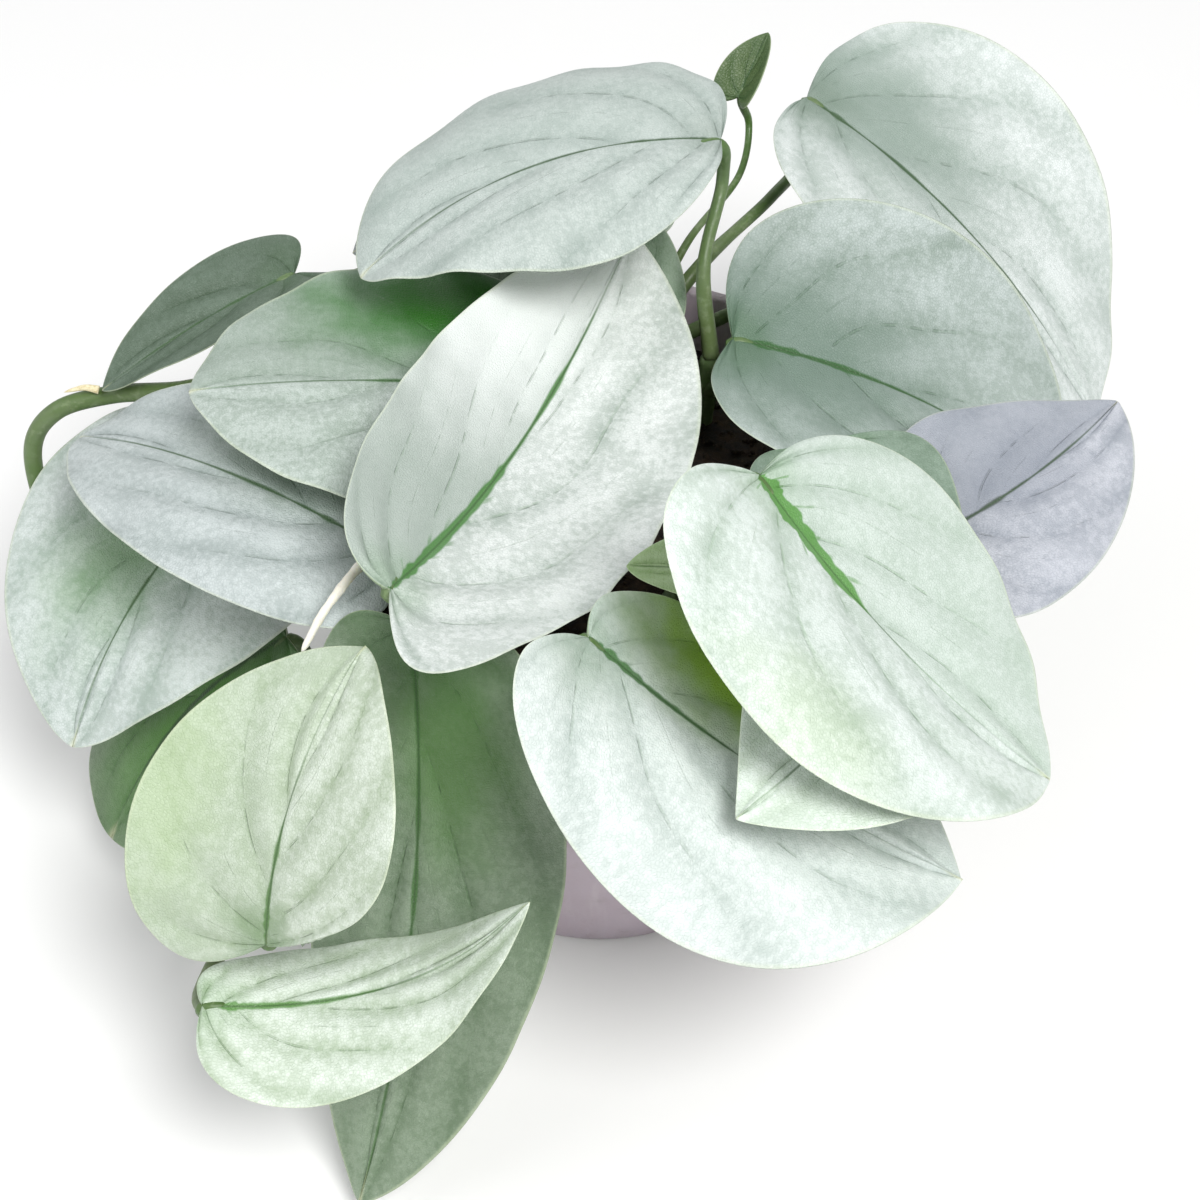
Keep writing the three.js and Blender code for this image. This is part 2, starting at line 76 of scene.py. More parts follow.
def make_piece(bm, name, node, materials):
    """Turns a finished bmesh into a smooth piece that stands for its CAD node."""
    mesh = bpy.data.meshes.new(name)
    bm.to_mesh(mesh)
    bm.free()
    mesh.shade_smooth()
    for material in materials:
        mesh.materials.append(material)
    piece = bpy.data.objects.new(name, mesh)
    bpy.context.scene.collection.objects.link(piece)
    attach(piece, "root")
    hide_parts(node)
    return piece


def tint(code):
    """A color written as six hex digits, as the linear values that a shader wants."""
    levels = [int(code[k:k + 2], 16) / 255 for k in (0, 2, 4)]
    return (*[x / 12.92 if x <= 0.04045 else ((x + 0.055) / 1.055) ** 2.4 for x in levels], 1)


def feed(tree, socket, value):
    """Links a socket, or sets it when the value is a plain number or color."""
    if isinstance(value, bpy.types.NodeSocket):
        tree.links.new(value, socket)
    else:
        socket.default_value = value


def reckon(tree, operation, *values, clamp=False):
    """One sum on sockets or numbers, as a maths node."""
    node = tree.nodes.new("ShaderNodeMath")
    node.operation = operation
    node.use_clamp = clamp
    for socket, value in zip(node.inputs, values):
        feed(tree, socket, value)
    return node.outputs[0]


def reckon_vector(tree, operation, *values):
    node = tree.nodes.new("ShaderNodeVectorMath")
    node.operation = operation
    for socket, value in zip(node.inputs, values):
        feed(tree, socket, value)
    return node.outputs["Value" if operation in ("LENGTH", "DISTANCE") else "Vector"]


def ease(tree, value, start, end, low=0, high=1):
    """Runs smoothly from low to high while the value goes from start to end."""
    node = tree.nodes.new("ShaderNodeMapRange")
    node.interpolation_type = "SMOOTHSTEP"
    for name, entry in (("Value", value), ("From Min", start), ("From Max", end), ("To Min", low),
                        ("To Max", high)):
        feed(tree, node.inputs[name], entry)
    return node.outputs["Result"]


def blend_colors(tree, factor, first, second, way="MIX"):
    node = tree.nodes.new("ShaderNodeMix")
    node.data_type = "RGBA"
    node.blend_type = way
    feed(tree, node.inputs[0], factor)
    feed(tree, node.inputs[6], first)
    feed(tree, node.inputs[7], second)
    return node.outputs[2]


def cloud(tree, place, scale, detail=2, roughness=0.5, distortion=0):
    node = tree.nodes.new("ShaderNodeTexNoise")
    for name, entry in (("Vector", place), ("Scale", scale), ("Detail", detail), ("Roughness", roughness),
                        ("Distortion", distortion)):
        feed(tree, node.inputs[name], entry)
    return node.outputs["Fac"]


def scale_by(tree, value, factor):
    return reckon(tree, "MULTIPLY", value, factor)


def raise_bump(tree, height, distance):
    node = tree.nodes.new("ShaderNodeBump")
    feed(tree, node.inputs["Height"], height)
    node.inputs["Distance"].default_value = distance
    return node.outputs["Normal"]


def soften(shader, weight, radius, scale):
    """Lets light a little way in: how much of it, the reach of each color, and its scale in metres."""
    shader.inputs["Subsurface Weight"].default_value = weight
    shader.inputs["Subsurface Radius"].default_value = radius
    shader.inputs["Subsurface Scale"].default_value = scale


def dress(tree, shader, color, roughness, relief, height):
    """Feeds a finished color, roughness and relief, raised by height in metres, to the shader."""
    feed(tree, shader.inputs["Base Color"], color)
    feed(tree, shader.inputs["Roughness"], roughness)
    tree.links.new(raise_bump(tree, relief, height), shader.inputs["Normal"])


def start_material(name):
    """A material with its Principled shader, and the object's own coordinates in metres."""
    material = bpy.data.materials.new(name)
    material.use_nodes = True
    tree = material.node_tree
    shader = tree.nodes["Principled BSDF"]
    place = tree.nodes.new("ShaderNodeTexCoord").outputs["Object"]
    return material, tree, shader, place


pot_plastic, tree, shader, place = start_material("pot_plastic")
parts = tree.nodes.new("ShaderNodeSeparateXYZ")
tree.links.new(place, parts.inputs[0])
height = parts.outputs["Z"]
broad = cloud(tree, place, 22, 3)
scuff_grain = cloud(tree, place, 900, 4, 0.6)
near_rim = ease(tree, height, 0.106, 0.1102)
near_foot = ease(tree, height, 0.004, 0.0)
edges = reckon(tree, "MAXIMUM", near_rim, near_foot)
scuffs = reckon(tree, "MULTIPLY", edges, ease(tree, scuff_grain, 0.5, 0.62))
specks = reckon(tree, "ADD", cloud(tree, place, 160, 5, 0.65), scale_by(tree, near_foot, 0.1))
dust = ease(tree, specks, 0.5, 0.8)
drawn_out = reckon_vector(tree, "MULTIPLY", place, (1, 1, 0.07))
drip_marks = ease(tree, cloud(tree, drawn_out, 230, 3, 0.6), 0.52, 0.76)
color = blend_colors(tree, ease(tree, broad, 0.3, 0.7), tint("baabb6"), tint("c6b9c4"))
color = blend_colors(tree, scale_by(tree, scuffs, 0.6), color, tint("cfc6cd"))
color = blend_colors(tree, scale_by(tree, drip_marks, 0.3), color, tint("d8d2d6"))
color = blend_colors(tree, scale_by(tree, dust, 0.26), color, tint("968b86"))
roughness = reckon(tree, "MULTIPLY_ADD", reckon(tree, "ADD", scuffs, dust), 0.22, 0.42)
skin = reckon(tree, "ADD", cloud(tree, place, 1400, 2), scale_by(tree, scuffs, 0.8))
dress(tree, shader, color, roughness, skin, 0.00006)
soften(shader, 0.04, (1.0, 0.2, 0.1), 0.002)

bm = bmesh.new()
inner = [(0, POT_FLOOR), (20, POT_FLOOR)] + [(r, POT_FLOOR) for r in reversed(DRAIN_RINGS)]
walls = [(pot_inside(h), h) for h in (POT_FLOOR, 20, 40, 60, 80, POT_SHOULDER)]
rim = [(POT_RIM_RADIUS - POT_RIM_WALL, POT_HEIGHT), (POT_RIM_RADIUS, POT_HEIGHT),
       (POT_RIM_RADIUS, POT_SHOULDER)]
outer = [(pot_inside(h) + POT_WALL, h) for h in (POT_SHOULDER, 80, 60, 40, 20, 0)]
turn_profile(bm, inner + walls + rim + outer + [(r, 0) for r in DRAIN_RINGS] + [(20, 0), (0, 0)], POT_STEPS)
for k in range(DRAIN_COUNT):
    angle = 2 * math.pi * (k + 0.5) / DRAIN_COUNT
    middle = Vector((math.cos(angle), math.sin(angle))) * DRAIN_CIRCLE * MM
    ring_width = (DRAIN_RINGS[0] - DRAIN_RINGS[-1]) * MM / 2
    side = Vector((-middle.y, middle.x)).normalized()
    cut = [f for f in bm.faces if abs(f.normal.z) > 0.9 and f.calc_center_median().z < 3 * MM
           and abs(f.calc_center_median().xy.length - DRAIN_CIRCLE * MM) < ring_width
           and abs((f.calc_center_median().xy - middle).dot(side)) < ring_width * 1.02
           and f.calc_center_median().xy.dot(middle) > 0]
    bmesh.ops.delete(bm, geom=cut, context="FACES")
    lips = [e for e in bm.edges if e.is_boundary]
    for vert in {v for e in lips for v in e.verts}:
        vert.co.xy = middle + (vert.co.xy - middle).normalized() * DRAIN_RADIUS * MM
    bmesh.ops.bridge_loops(bm, edges=lips)
corners = [e for e in bm.edges if e.calc_face_angle(0) > 0.6 and e.verts[0].co.xy.length > 40 * MM]
bmesh.ops.bevel(bm, geom=corners, offset=POT_CORNER_ROUNDING * MM, segments=3, profile=0.5,
                affect="EDGES", material=-1)
bmesh.ops.recalc_face_normals(bm, faces=bm.faces)
make_piece(bm, "nursery_pot", "pot", [pot_plastic])


# Potting soil: dark damp crumbs with a few flat bits of bark, filled by hand to just below the
# rim and heaped a little in the middle, pressed against every stem.
SOIL_BOTTOM = 2.7
SOIL_GAP = 0.6
SOIL_CROWN = 101.2
SOIL_TOP_START = 90
SOIL_EDGE = 96
SOIL_STEPS = 144
SOIL_RINGS = 46
CRUMB_COUNT = 900
BARK_COUNT = 70
CRUMB_SIZES = (0.45, 1.5)
random.seed(11)

soil_radius = pot_inside(SOIL_EDGE) - SOIL_GAP


def soil_height(x, y):
    """Height of the soil's surface in millimetres: mounded, with clods and crumbs."""
    share = min(math.hypot(x, y) / soil_radius, 1)
    heap = SOIL_CROWN - 2.6 * share ** 2 - 2.2 * max(share - 0.86, 0) / 0.14
    clods = noise.noise(Vector((x, y, 3)) * 0.11) * 1.5 + noise.noise(Vector((x, y, 9)) * 0.35) * 0.8
    grit = noise.noise(Vector((x, y, 5)) * 1.1) * 0.5
    return heap + (clods + grit) * (1 - 0.6 * share ** 6)


soil_mix, tree, shader, place = start_material("soil_mix")
lumps = cloud(tree, place, 260, 4, 0.7)
grains = cloud(tree, place, 1500, 5, 0.7)
color = blend_colors(tree, ease(tree, lumps, 0.35, 0.68), tint("1d1712"), tint("4a3a2b"))
color = blend_colors(tree, ease(tree, grains, 0.58, 0.75), color, tint("6b5640"))
roughness = ease(tree, lumps, 0.3, 0.7, 0.7, 0.97)
dress(tree, shader, color, roughness, reckon(tree, "ADD", lumps, grains), 0.0007)

bm = bmesh.new()
top = [(soil_radius * (1 - k / SOIL_RINGS), SOIL_EDGE) for k in range(SOIL_RINGS + 1)]
turn_profile(bm, [(0, SOIL_BOTTOM), (pot_inside(SOIL_BOTTOM) - SOIL_GAP, SOIL_BOTTOM)] + top, SOIL_STEPS)
for vert in bm.verts:
    if vert.co.z > SOIL_TOP_START * MM:
        vert.co.z = soil_height(vert.co.x / MM, vert.co.y / MM) * MM


def scatter(bm, count, make):
    """Drops small bits of one kind on the soil, half sunk, each turned its own way."""
    for _ in range(count):
        reach = soil_radius * math.sqrt(random.random()) * 0.985
        angle = random.uniform(0, 2 * math.pi)
        x, y = reach * math.cos(angle), reach * math.sin(angle)
        verts, sink = make()
        turn = Matrix.Rotation(random.uniform(0, math.pi), 4, "Z")
        tip_over = Matrix.Rotation(random.uniform(-0.5, 0.5), 4, "X")
        spot = Matrix.Translation(Vector((x, y, soil_height(x, y) + sink)) * MM)
        bmesh.ops.transform(bm, matrix=spot @ turn @ tip_over, verts=verts)


def crumb():
    size = random.uniform(*CRUMB_SIZES) * random.uniform(0.5, 1)
    made = bmesh.ops.create_icosphere(bm, subdivisions=1, radius=size * MM)["verts"]
    for vert in made:
        vert.co *= random.uniform(0.7, 1.15)
    bmesh.ops.scale(bm, vec=(1, random.uniform(0.6, 1), random.uniform(0.5, 0.9)), verts=made)
    return made, size * 0.2


def bark_bit():
    made = bmesh.ops.create_icosphere(bm, subdivisions=1, radius=MM)["verts"]
    bmesh.ops.scale(bm, vec=(random.uniform(1.6, 3.4), random.uniform(0.6, 1.2), 0.4), verts=made)
    for vert in made:
        vert.co += Vector([random.uniform(-0.25, 0.25) * MM for _ in range(3)])
    return made, 0.3


scatter(bm, CRUMB_COUNT, crumb)
scatter(bm, BARK_COUNT, bark_bit)
bmesh.ops.recalc_face_normals(bm, faces=bm.faces)
make_piece(bm, "potting_soil", "soil", [soil_mix])


# Stems: six smooth fleshy grey-green vines that rise from the soil, one of them trailing over the
# rim. Each leaf stalk clasps its stem with a wide sheath, narrows, and swells again under its blade.
STEM_SIDES = 20
STEM_STEP = 1.2
PETIOLE_SIDES = 16
PETIOLE_STEP = 1.0
PETIOLE_RADIUS = 1.6
SHEATH_SHARE = 0.4
SHEATH_WIDENING = 0.3
KNEE_SWELLING = 0.16
NODE_SWELLING = 0.22
NODE_HALF_LENGTH = 2.2
RIB_RUN = 7
TUBE_TIP_SHARES = (0.86, 0.6, 0.25)
CURVE_STEPS = 24
THIN_STALK_SHARE = 0.6
SMALL_BLADE_WIDTH = 20

STEMS = {
    "stem_center": ("center_stem", 2.3, [(22, 26, 88), (23, 25, 104), (24, 24, 121)]),
    "stem_left": ("left_stem", 2.3, [(-17, 6, 88), (-15, 9, 103), (-12, 13, 111)]),
    "stem_front": ("front_stem", 2.4, [(-12, -22, 88), (-15, -27, 104), (-20, -34, 113)]),
    "stem_right": ("right_stem", 2.4, [(20, -10, 88), (23, -13, 104), (26, -18, 117)]),
    "stem_back": ("back_stem", 2.3, [(9, 41, 88), (9, 45, 104), (8, 50, 113)]),
    "stem_trailing": ("trailing_stem", 2.2, [
        (-36, 9, 88), (-40, 9.4, 96), (-46, 10, 106), (-64, 12, 113.2), (-79, 26, 110), (-96, 34, 101.5),
        (-112, 38, 97), (-124, 36, 94), (-131, 35, 84), (-127, 25, 62), (-113, 10, 38),
        (-98, -14, 20), (-88, -44, 20), (-81, -64, 26)]),
}

# Each leaf, in millimetres and degrees: where its blade begins and ends, how wide it is and how far
# it rolls about its midrib and folds along it. As shares of its length or half width: how much it
# arches, bows sideways, curls down at its left and right margins, favors its left half, fills out
# towards its base, and draws back its two lobes. Then how drawn out its tip is, and its stalk.
LEAVES = {
    "top": dict(base=(25, 41, 163), tip=(-50, 23, 141), width=62, roll=5, fold=14, arch=0.08, bow=-0.07,
        curl=(0.45, 0.35), even=-0.05, full=0.2, lobes=(0.05, 0.15), sharp=0.1, stem="stem_center",
        stalk=[(24, 24, 119), (22, 31, 138), (26, 44, 151)]),
    "top_behind": dict(base=(4, 73, 138), tip=(-56, 58, 122), width=50, roll=5, fold=10, arch=0.05,
        stem="stem_back", stalk=[(8, 49, 111), (7, 58, 120), (5, 70, 129)]),
    "young": dict(base=(32, 94, 140), tip=(39, 104, 151), width=11, fold=50, stem="stem_back",
        stalk=[(9, 46, 107), (20, 66, 119), (33, 86, 125), (35, 96, 132)]),
    "right_upper": dict(base=(48, 94, 140), tip=(119, 54, 75), width=87, roll=2, fold=5, arch=0.1,
        bow=-0.02, curl=(-0.2, 0.15), even=0.1, full=0.15, lobes=(0.2, 0.1), stem="stem_back",
        stalk=[(9, 46, 106), (24, 62, 117), (40, 80, 122), (47, 90, 125)]),
    "right_middle": dict(base=(28, 18, 129), tip=(106, 19, 82), width=74, roll=-17, fold=11, arch=0.08,
        bow=0.01, curl=(-0.15, -0.05), even=0.05, full=0.15, lobes=(0.2, 0.25), sharp=0.05,
        stem="stem_center", stalk=[(23, 25, 108), (26, 20, 115), (30, 17, 120)]),
    "right_outer": dict(base=(67, -29.5, 116.5), tip=(110, 11.5, 117), width=48, roll=-8, fold=5, arch=0.01,
        bow=-0.04, curl=(0.05, 0.15), full=0.45, lobes=(0.05, 0.45), sharp=0.2, stem="stem_right",
        stalk=[(22, -12, 103), (40, -24, 106), (55, -29, 113), (65, -30, 113), (72, -25, 107)]),
    "right_under": dict(base=(44, -15, 127), tip=(70, -53.5, 115.5), width=38, fold=5, arch=0.04, bow=-0.04,
        curl=(0, 0.05), even=0.05, full=0.45, lobes=(0.1, 0.3), sharp=0.2, stem="stem_right",
        stalk=[(24, -15, 111), (36, -24, 112), (44, -20, 119)]),
    "front_right": dict(base=(29, -49, 150), tip=(84.5, -80, 101), width=79, roll=10, fold=15, arch=-0.02,
        bow=-0.04, curl=(0, 0.3), even=-0.1, full=0.15, lobes=(0.1, 0.45), stem="stem_right",
        stalk=[(25, -16, 115), (24, -29, 123), (27, -38, 132)]),
    "center": dict(base=(-39, -58, 130), tip=(7, 46, 137), width=66, roll=-28, fold=14, arch=-0.08,
        bow=-0.05, curl=(-0.1, -0.3), even=-0.1, full=-0.05, lobes=(0.15, 0.55), sharp=0.35,
        stem="stem_front", stalk=[(-18, -31, 111), (-28, -46, 113.5), (-35, -52, 121.5)]),
    "left_upper": dict(base=(-15, 10, 121.5), tip=(-85, 3, 127), width=74, roll=4, fold=3, arch=0.03,
        bow=-0.01, curl=(0.1, 0), full=0.2, lobes=(0.5, 0.4), sharp=0.1, stem="stem_left",
        stalk=[(-13, 11, 109), (-11, 17, 112)]),
    "left_middle": dict(base=(-41, -31.5, 112.5), tip=(-115.5, 21.5, 98.5), width=59, roll=5, fold=9,
        arch=0.09, bow=0.01, curl=(0.25, 0.1), even=-0.05, full=0.2, lobes=(0.3, 0.4), stem="stem_front",
        stalk=[(-15, -27, 104), (-30, -29, 103), (-42, -30.5, 103)]),
    "left_rear": dict(base=(-70.5, 62.5, 113), tip=(-112, 34, 101.5), width=31, fold=18, arch=0.05,
        bow=0.01, curl=(-0.1, 0), even=0.1, lobes=(0.5, 0.45), stem="stem_trailing",
        stalk=[(-80, 27, 109.5), (-76, 42, 105), (-71, 58, 99)]),
    "left_outer": dict(base=(-82.5, 21.5, 84.5), tip=(-116.5, -28.5, 51.5), width=73, roll=1, fold=10,
        arch=0.08, bow=-0.04, curl=(0.15, 0.1), even=-0.05, full=0.45, lobes=(0.25, 0.35), sharp=0.05,
        stem="stem_trailing", stalk=[(-82, 28, 108), (-80, 35, 99), (-82, 32, 89), (-84, 27, 78)]),
    "left_shaded": dict(base=(-68.5, -15, 72.5), tip=(-113, -28.5, 19.5), width=62, roll=15, fold=6,
        arch=0.02, bow=-0.09, curl=(0, 0.3), full=-0.05, lobes=(0.3, 0.1), sharp=0.05, stem="stem_trailing",
        stalk=[(-94, -26, 20.5), (-80, -24, 34), (-69, -18, 50), (-64, -15, 64)]),
    "front_left": dict(base=(-63, -101, 78), tip=(-44, -63, 120), width=62, roll=18, fold=8, arch=0.09,
        bow=0.01, curl=(-0.25, 0.05), full=0.25, lobes=(0.5, -0.2), sharp=0.2, stem="stem_trailing",
        stalk=[(-82, -61, 25), (-77, -65, 46), (-71, -76, 66), (-65, -95, 73)]),
    "front_left_low": dict(base=(-77, -103, 61), tip=(-13, -100, 90), width=31, roll=-14, arch=-0.16,
        bow=-0.04, curl=(0.25, 0.05), even=-0.25, full=0.5, lobes=(0.15, 0.1), sharp=0.2,
        stem="stem_trailing", stalk=[(-82, -63, 26), (-84, -82, 33), (-76, -98, 50)]),
    "front_hanging": dict(base=(-36, -55, 117), tip=(-50, -115, 7), width=60, roll=-11, arch=-0.04,
        bow=0.03, even=0.1, full=0.25, lobes=(0.15, 0.15), sharp=0.2, stem="stem_front",
        stalk=[(-17, -29, 108), (-28, -42, 113), (-35, -49, 113)]),
    "front_large": dict(base=(-2, -73, 132.5), tip=(69, -90.5, 84.5), width=68, roll=-2, fold=7, arch=-0.06,
        curl=(0, 0.5), even=-0.15, full=-0.2, lobes=(0.15, 0.5), sharp=0.4, stem="stem_right",
        stalk=[(21, -11, 104), (14, -36, 106), (3, -56, 114), (-2, -67, 117)]),
    "front_right_low": dict(base=(47.5, -75.5, 116.5), tip=(24, -100.5, 115), width=41, roll=10, fold=3,
        arch=0.06, bow=0.04, even=0.1, full=0.6, lobes=(0.55, 0.5), sharp=0.25, stem="stem_right",
        stalk=[(22, -12, 103), (32, -38, 110), (39, -52, 115), (43, -66, 114.5), (45, -76, 113)]),
    "small": dict(base=(26, -49, 126), tip=(5, -48, 126), width=19, fold=10, stem="stem_right",
        stalk=[(22, -12, 103), (26, -33, 107), (27, -46, 115)]),
    "inner_rear": dict(base=(4, 29.5, 124), tip=(2, 68.5, 132.5), width=30, fold=10, stem="stem_center",
        stalk=[(23, 24, 112), (15, 23, 112), (8, 25, 117)]),
    "rear_shaded": dict(base=(-25, 52.5, 113), tip=(-68.5, 66.5, 104), width=34, fold=10, stem="stem_left",
        stalk=[(-15, 10, 103), (-18, 32, 105), (-23, 46, 107)]),
    "back_middle": dict(base=(-4, 76, 113), tip=(-14, 136, 68), width=48, fold=10, arch=0.08,
        stem="stem_back", stalk=[(9, 45, 104), (3, 58, 114), (-2, 68, 112), (-4, 73, 107)]),
    "back_right": dict(base=(56, 62, 110), tip=(100, 102, 64), width=46, fold=10, arch=0.08,
        stem="stem_back", stalk=[(9, 44, 103), (24, 46, 111), (38, 50, 115), (50, 58, 110), (56, 63, 102)]),
    "back_left": dict(base=(-56, 70, 92), tip=(-88, 114, 50), width=44, fold=10, arch=0.08,
        stem="stem_trailing", stalk=[(-78, 25, 110.5), (-66, 46, 98), (-57, 64, 85)]),
}


def blade_axes(leaf):
    """Directions of a blade: from base to tip, towards its left margin, and out of its upper face."""
    chord = Vector(leaf["tip"]) - Vector(leaf["base"])
    length = chord.length
    chord.normalize()
    face = (Vector((0, 0, 1)) - chord * chord.z).normalized()
    face = Matrix.Rotation(-math.radians(leaf.get("roll", 0)), 3, chord) @ face
    return chord, face.cross(chord), face, length


def smooth_path(points, step):
    """Evenly spaced points in metres along a smooth curve through the given points in millimetres."""
    knots = [Vector(p) for p in points]
    knots = [2 * knots[0] - knots[1]] + knots + [2 * knots[-1] - knots[-2]]
    fine = []
    for a, b, c, d in zip(knots, knots[1:], knots[2:], knots[3:]):
        gaps = [max((q - p).length, 1e-4) ** 0.5 for p, q in ((a, b), (b, c), (c, d))]
        leave = ((b - a) / gaps[0] - (c - a) / (gaps[0] + gaps[1]) + (c - b) / gaps[1]) * gaps[1]
        arrive = ((c - b) / gaps[1] - (d - b) / (gaps[1] + gaps[2]) + (d - c) / gaps[2]) * gaps[1]
        for k in range(CURVE_STEPS):
            s = k / CURVE_STEPS
            fine.append(b + leave * s + (3 * (c - b) - 2 * leave - arrive) * s ** 2
                        + (2 * (b - c) + leave + arrive) * s ** 3)
    fine.append(knots[-2])
    lengths = [0]
    for p, q in zip(fine, fine[1:]):
        lengths.append(lengths[-1] + (q - p).length)
    count = max(6, round(lengths[-1] / step))
    even, k = [], 0
    for n in range(count + 1):
        goal = lengths[-1] * n / count
        while k < len(fine) - 2 and lengths[k + 1] < goal:
            k += 1
        share = (goal - lengths[k]) / max(lengths[k + 1] - lengths[k], 1e-9)
        even.append(fine[k].lerp(fine[k + 1], min(share, 1)) * MM)
    return even, lengths[-1]


def grow_tube(bm, along, age, path, length, radius_at, sides):
    """Draws a ring of vertices along a path, with its own radius everywhere, and closes both ends."""
    start = path[0] - (path[1] - path[0])
    direction = (path[1] - path[0]).normalized()
    ring = bmesh.ops.create_circle(bm, cap_ends=False, radius=1, segments=sides)["verts"]
    first_turn = Vector((0, 0, 1)).rotation_difference(direction).to_matrix().to_4x4()
    bmesh.ops.transform(bm, matrix=first_turn, verts=ring)
    first_edges = edges = list({e for v in ring for e in v.link_edges})
    size, centre = 1.0, Vector((0, 0, 0))
    last = len(path) - 1
    for k, point in enumerate(path):
        distance = length * k / last
        goal = radius_at(distance) * MM
        if last - k < len(TUBE_TIP_SHARES):
            goal *= TUBE_TIP_SHARES[len(TUBE_TIP_SHARES) - 1 - (last - k)]
        ahead = (path[min(k + 1, last)] - path[max(k - 1, 0)]).normalized()
        turn = direction.rotation_difference(ahead).to_matrix().to_4x4()
        sized = Matrix.Scale(goal / size, 4)
        move = Matrix.Translation(point) @ turn @ sized @ Matrix.Translation(-centre)
        if k:
            made = bmesh.ops.extrude_edge_only(bm, edges=edges)["geom"]
            ring = [g for g in made if isinstance(g, bmesh.types.BMVert)]
            edges = [g for g in made if isinstance(g, bmesh.types.BMEdge)]
        bmesh.ops.transform(bm, matrix=move, verts=ring)
        for vert in ring:
            vert[along] = distance
            vert[age] = k / last
        size, centre, direction = goal, point, ahead
    bmesh.ops.edgeloop_fill(bm, edges=first_edges)
    bmesh.ops.edgeloop_fill(bm, edges=edges)


def stem_radius(radius, nodes, length):
    def at(distance):
        swell = sum(math.exp(-((distance - n) / NODE_HALF_LENGTH) ** 2) for n in nodes)
        ring = sum(math.exp(-((distance - n + 1.5) / 0.4) ** 2) for n in nodes)
        thinning = 0.1 * (distance / length) ** 3
        return radius * (0.97 + NODE_SWELLING * min(swell, 1) - 0.05 * min(ring, 1) - thinning)
    return at


def stalk_radius(length, thick):
    def at(distance):
        share = distance / length
        sheath = SHEATH_WIDENING * max(0, 1 - share / SHEATH_SHARE) ** 0.6
        knee = KNEE_SWELLING * math.exp(-((length - RIB_RUN - 2.5 - distance) / 3) ** 2)
        end = min(max((length - distance) / RIB_RUN, 0), 1)
        return PETIOLE_RADIUS * thick * (0.86 + sheath + knee) * (0.45 + 0.55 * end ** 0.8)
    return at


def read_attribute(tree, name):
    node = tree.nodes.new("ShaderNodeAttribute")
    node.attribute_name = name
    return node.outputs["Fac"]


vine_skin, tree, shader, place = start_material("vine_skin")
streaks = cloud(tree, place, 420, 4, 0.6)
broad = cloud(tree, place, 70, 3)
bands = reckon(tree, "SINE", scale_by(tree, read_attribute(tree, "along"), 1.7))
aging = ease(tree, read_attribute(tree, "age"), 0.0, 0.75)
color = blend_colors(tree, aging, tint("5c6e41"), tint("48672f"))
color = blend_colors(tree, ease(tree, broad, 0.35, 0.65, 0, 0.5), color, tint("748462"))
color = blend_colors(tree, ease(tree, streaks, 0.52, 0.7, 0, 0.3), color, tint("9aa686"))
color = blend_colors(tree, ease(tree, bands, 0.75, 1, 0, 0.12), color, tint("4c5c33"))
relief = reckon(tree, "ADD", streaks, scale_by(tree, bands, 0.15))
dress(tree, shader, color, ease(tree, streaks, 0.3, 0.7, 0.38, 0.52), relief, 0.00016)
soften(shader, 0.25, (0.7, 1.0, 0.3), 0.0015)

for node, (name, radius, points) in STEMS.items():
    bm = bmesh.new()
    along = bm.verts.layers.float.new("along")
    age = bm.verts.layers.float.new("age")
    path, length = smooth_path(points, STEM_STEP)
    grown = [leaf for leaf in LEAVES.values() if leaf["stem"] == node]
    nodes = []
    for leaf in grown:
        foot = Vector(leaf["stalk"][0]) * MM
        nearest = min(range(len(path)), key=lambda k: (path[k] - foot).length)
        nodes.append(length * nearest / (len(path) - 1))
    grow_tube(bm, along, age, path, length, stem_radius(radius, nodes, length), STEM_SIDES)
    for leaf in grown:
        chord, left, face, blade_length = blade_axes(leaf)
        slope = 4 * leaf.get("arch", 0)
        rib = (chord + face * slope).normalized()
        normal = (face - chord * slope).normalized()
        base = Vector(leaf["base"])
        thick = THIN_STALK_SHARE if leaf["width"] < SMALL_BLADE_WIDTH else 1.0
        run = min(RIB_RUN, 0.3 * blade_length)
        knee, end = base - normal * 1.35 * thick + rib * 0.4, base - normal * 0.9 * thick + rib * run
        stalk = [Vector(p) for p in leaf["stalk"]] + [knee, end]
        stalk_path, stalk_length = smooth_path(stalk, PETIOLE_STEP)
        grow_tube(bm, along, age, stalk_path, stalk_length, stalk_radius(stalk_length, thick), PETIOLE_SIDES)
    bmesh.ops.recalc_face_normals(bm, faces=bm.faces)
    make_piece(bm, name, node, [vine_skin])


# White shoot: a thin, slightly knobbly aerial shoot that springs from the top of the front stem,
# waxy white, greener at its foot and tapering to a soft point.
SHOOT_RADIUS = 1.25
SHOOT_STEP = 0.7
SHOOT_SIDES = 14
SHOOT_POINTS = [(-20.6, -34.7, 114.1), (-31, -33.5, 119), (-43, -38, 120.5), (-52, -50, 118),
                (-57, -58, 113)]

shoot_wax, tree, shader, place = start_material("shoot_wax")
flecks = cloud(tree, place, 900, 3)
aging = ease(tree, read_attribute(tree, "age"), 0, 0.45)
color = blend_colors(tree, aging, tint("b9c29a"), tint("efebdf"))
color = blend_colors(tree, ease(tree, flecks, 0.56, 0.72, 0, 0.5), color, tint("d3cbb2"))
dress(tree, shader, color, ease(tree, flecks, 0.3, 0.7, 0.4, 0.55), flecks, 0.0001)
soften(shader, 0.35, (1.0, 0.9, 0.6), 0.0012)


def shoot_radius(distance):
    knobs = 1 + 0.07 * math.sin(distance * 0.9) + 0.05 * math.sin(distance * 2.3)
    return SHOOT_RADIUS * (1.05 - 0.5 * (distance / length) ** 1.5) * knobs


